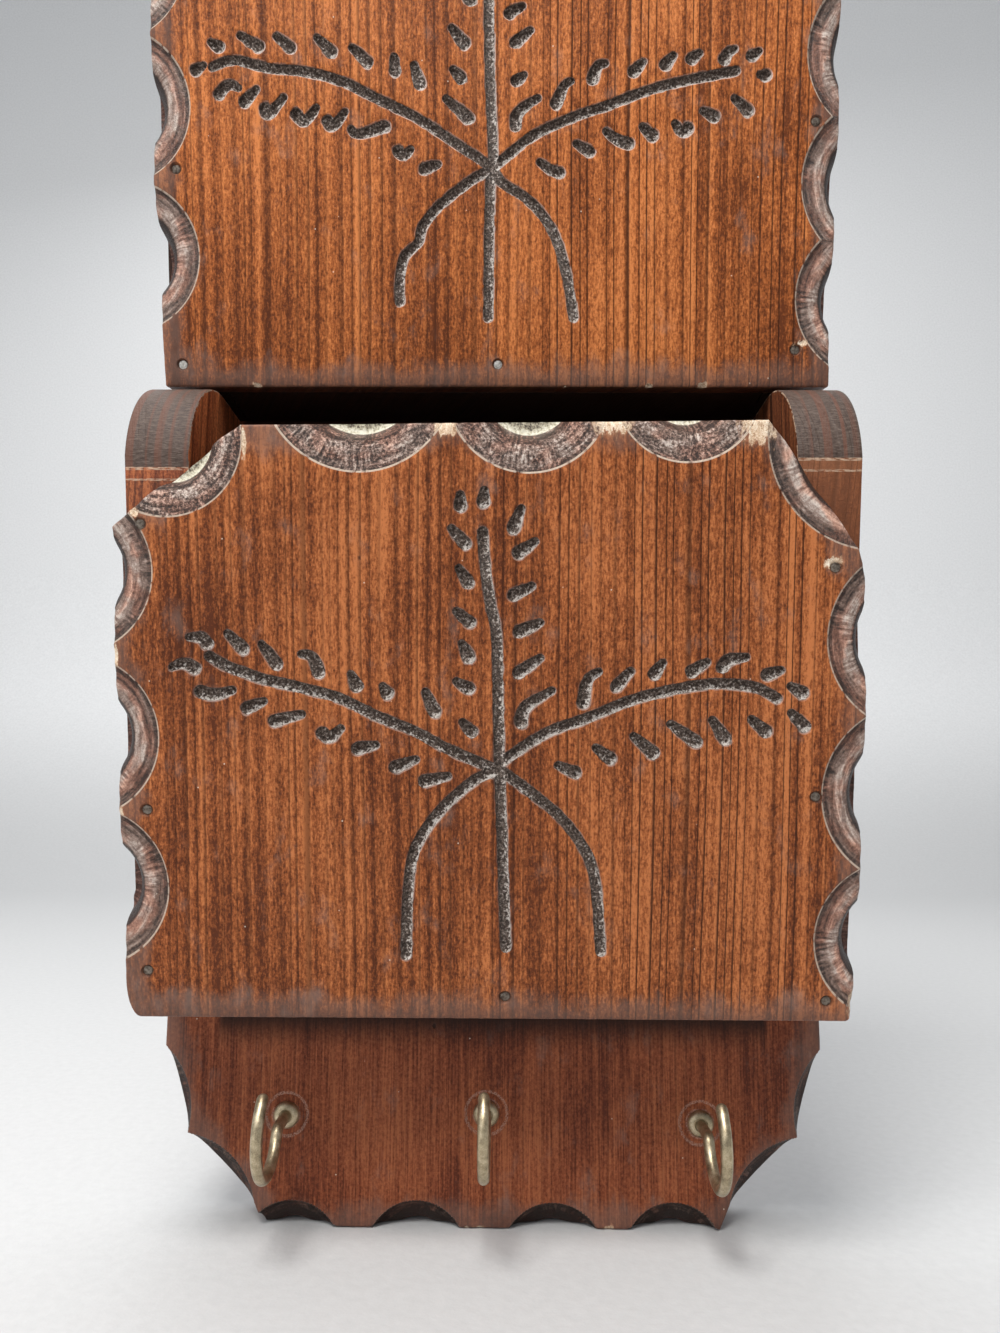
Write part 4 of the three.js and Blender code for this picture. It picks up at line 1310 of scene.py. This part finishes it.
def hook_line(x, z):
    """Wire line of a hook in (x, y, z) millimetres: out of the board, down, and round the open loop."""
    rise = HOOK_LOOP_RISE + HOOK_BEND_RADIUS
    run = math.sqrt((HOOK_LOOP_RADIUS + HOOK_BEND_RADIUS) ** 2 - rise ** 2)
    loop_y, loop_z = -BOARD_THICKNESS - HOOK_LOOP_REACH, z + HOOK_LOOP_RISE
    bend_y, bend_z = loop_y + run, z - HOOK_BEND_RADIUS
    sweep = math.pi / 2 - math.atan2(rise, run)
    start = -math.atan2(rise, run)
    loop_sweep = 2 * math.pi - HOOK_TIP_ANGLE + start
    points = [(x, y, z) for y in np.linspace(-BOARD_THICKNESS + 6, bend_y, 10)]
    arcs = ((bend_y, bend_z, HOOK_BEND_RADIUS, math.pi / 2, sweep, 9),
            (loop_y, loop_z, HOOK_LOOP_RADIUS, start, -loop_sweep, 72))
    for middle_y, middle_z, radius, first, turn, count in arcs:
        for angle in (first + turn * np.linspace(0, 1, count))[1:]:
            points.append((x, middle_y + radius * math.cos(angle), middle_z + radius * math.sin(angle)))
    return np.array(points)


def make_hook(name, x, height, material):
    board_low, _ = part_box("backboard")
    line = hook_line(x, board_low.z / MM + height)
    way = np.gradient(line, axis=0)
    way /= np.linalg.norm(way, axis=1)[:, None]
    radius = HOOK_WIRE_RADIUS - HOOK_ROOM
    steps = [(point, along, radius) for point, along in zip(line, way)][:-HOOK_TIP_STEPS]
    for t in (0.0, 0.35, 0.65, 0.86, 0.97):
        steps.append((line[-1] - way[-1] * radius * (1 - t), way[-1], radius * math.sqrt(1 - t * t)))
    across = np.array([1.0, 0.0, 0.0])
    angles = np.linspace(0, 2 * math.pi, 20, endpoint=False)
    rings = []
    for centre, along, size in steps:
        other = np.cross(along, across)
        rings.append([(centre + (across * math.cos(a) + other * math.sin(a)) * size) * MM for a in angles])
    piece = ring_mesh(f"hook_wire_{name}", rings, 60)
    return finish_piece(piece, material, "aged_brass", f"cup_hook_{name}")


def make_collar(name, x, height, material):
    node = f"hook_collar_{name}"
    low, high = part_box(node)
    z = (low.z + high.z) / 2

    def onto_board(point):
        a, b, along = point
        return (x * MM + a * MM, high.y - along * MM, z + b * MM)

    rim, bore, top = COLLAR_RADIUS, HOOK_WIRE_RADIUS, COLLAR_THICKNESS
    profile = [(rim - 0.1, 0.05), (rim - 0.02, 0.4), (rim - 0.05, 0.9), (rim - 0.5, 1.6), (rim - 1.2, 2.1),
               (rim - 1.9, top - 0.05), (bore + 0.3, top - 0.1), (bore + 0.1, top - 0.5)]
    piece = lathed(f"collar_{name}", profile, 36, onto_board)
    return finish_piece(piece, material, "aged_brass", node)


# Stage, light and camera

def make_stage(material):
    """A floor that sweeps up into a wall behind the object."""
    low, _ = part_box("backboard")
    floor_z = low.z - SWEEP_DROP
    profile = [(SWEEP_FRONT, floor_z), (SWEEP_START, floor_z)]
    for angle in np.linspace(0, math.pi / 2, 24)[1:]:
        profile.append((SWEEP_START + SWEEP_RADIUS * math.sin(angle),
                        floor_z + SWEEP_RADIUS * (1 - math.cos(angle))))
    profile.append((SWEEP_START + SWEEP_RADIUS, SWEEP_TOP))
    vertices = [(side * SWEEP_HALF_WIDTH, y, z) for y, z in profile for side in (-1, 1)]
    faces = [(2 * i, 2 * i + 1, 2 * i + 3, 2 * i + 2) for i in range(len(profile) - 1)]
    mesh = bpy.data.meshes.new("studio_sweep")
    mesh.from_pydata(vertices, [], faces)
    mesh.shade_smooth()
    mesh.materials.append(material)
    link("studio_sweep", mesh)


def make_lamp(name, place, target, size, power, colour):
    data = bpy.data.lights.new(name, "AREA")
    data.shape = "SQUARE"
    data.size = size
    data.energy = power
    data.color = colour
    lamp = bpy.data.objects.new(name, data)
    lamp.location = place
    way = Vector(target) - Vector(place)
    lamp.rotation_euler = way.to_track_quat("-Z", "Y").to_euler()
    bpy.context.scene.collection.objects.link(lamp)


def make_world():
    world = bpy.data.worlds.new("pale_room")
    world.use_nodes = True
    background = world.node_tree.nodes["Background"]
    background.inputs["Color"].default_value = (0.93, 0.96, 1.0, 1)
    background.inputs["Strength"].default_value = 0.37
    bpy.context.scene.world = world


def make_camera():
    data = bpy.data.cameras.new("photo_camera")
    data.lens = CAMERA_LENS
    data.sensor_width = 36.0
    data.sensor_fit = "AUTO"
    data.clip_start = 0.01
    camera = bpy.data.objects.new("photo_camera", data)
    turn = (Matrix.Rotation(CAMERA_YAW, 4, "Z") @ Matrix.Rotation(math.pi / 2 + CAMERA_PITCH, 4, "X")
            @ Matrix.Rotation(CAMERA_ROLL, 4, "Z"))
    camera.matrix_world = Matrix.Translation(CAMERA_PLACE) @ turn
    bpy.context.scene.collection.objects.link(camera)
    bpy.context.scene.camera = camera


make_camera()
make_world()
make_stage(backdrop("felt_backdrop"))
make_lamp("key_lamp", (-0.25, -0.75, 1.15), (0, -0.05, 0), 0.6, 25.0, (1.0, 0.98, 0.95))
make_lamp("fill_lamp", (-1.0, -0.8, 0.25), (0, 0, -0.05), 1.0, 3.0, (0.95, 0.97, 1.0))
make_lamp("top_lamp", (-0.2, 0.5, 1.4), (0, 0.4, 0), 1.4, 12.0, (1.0, 1.0, 1.0))

PANEL_LEAN = math.tan(PANEL_SLOPE)
UPPER_WOOD = ((0.13, 0.033, 0.009), (0.37, 0.104, 0.026), (0.66, 0.22, 0.065))
LOWER_WOOD = ((0.1, 0.026, 0.009), (0.285, 0.08, 0.023), (0.54, 0.18, 0.06))
BACK_WOOD = ((0.1, 0.024, 0.011), (0.235, 0.062, 0.025), (0.38, 0.122, 0.05))
# Limits of the painted shadow on the backboard: its heights, and half the width between the sides
pocket_shadow_limits = (*POCKET_SHADOW_HEIGHTS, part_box("lower_right_side")[0].x / MM)
upper_wood = stained_pine("pine_upper", UPPER_WOOD, PANEL_PROFILE, 0.85, 3.4, 3.0, PANEL_LEAN)
lower_wood = stained_pine("pine_lower", LOWER_WOOD, PANEL_PROFILE, 0.4, 3.1, 0.0, PANEL_LEAN)
back_wood = stained_pine("pine_back", BACK_WOOD, LIP_PROFILE, 0.5, 4.2, 17.0, 0.0, 0.2, pocket_shadow_limits)
pocket_wood = pocket_pine("pine_pocket")
brass = aged_brass("brass_aged")
bright_steel = old_steel("steel_bright", (0.3, 0.28, 0.25), (0.7, 0.68, 0.64))
stained_steel = old_steel("steel_stained", (0.06, 0.04, 0.03), (0.26, 0.22, 0.18))

PANELS = {
    "lower": Panel(LOWER_SIDES, LOWER_FEET, LOWER_EDGES, LOWER_STEMS, LOWER_LEAVES, LOWER_CHIPS,
                   LOWER_TONES, LOWER_BRADS, lower_wood),
    "upper": Panel(UPPER_SIDES, UPPER_FEET, UPPER_EDGES, UPPER_STEMS, UPPER_LEAVES, UPPER_CHIPS,
                   UPPER_TONES, UPPER_BRADS, upper_wood),
}
make_backboard(back_wood)
for level, panel in PANELS.items():
    make_front_panel(level, panel)
for level, panel in PANELS.items():
    make_floor(level, pocket_wood)
    for hand in ("left", "right"):
        make_side(level, hand, pocket_wood)
    make_brads(level, panel.brads, bright_steel, stained_steel)
    make_back_nails(level, stained_steel)
for name, (x, height) in HOOKS.items():
    make_hook(name, x, height, brass)
    make_collar(name, x, height, brass)

bpy.context.scene.view_settings.view_transform = "Standard"
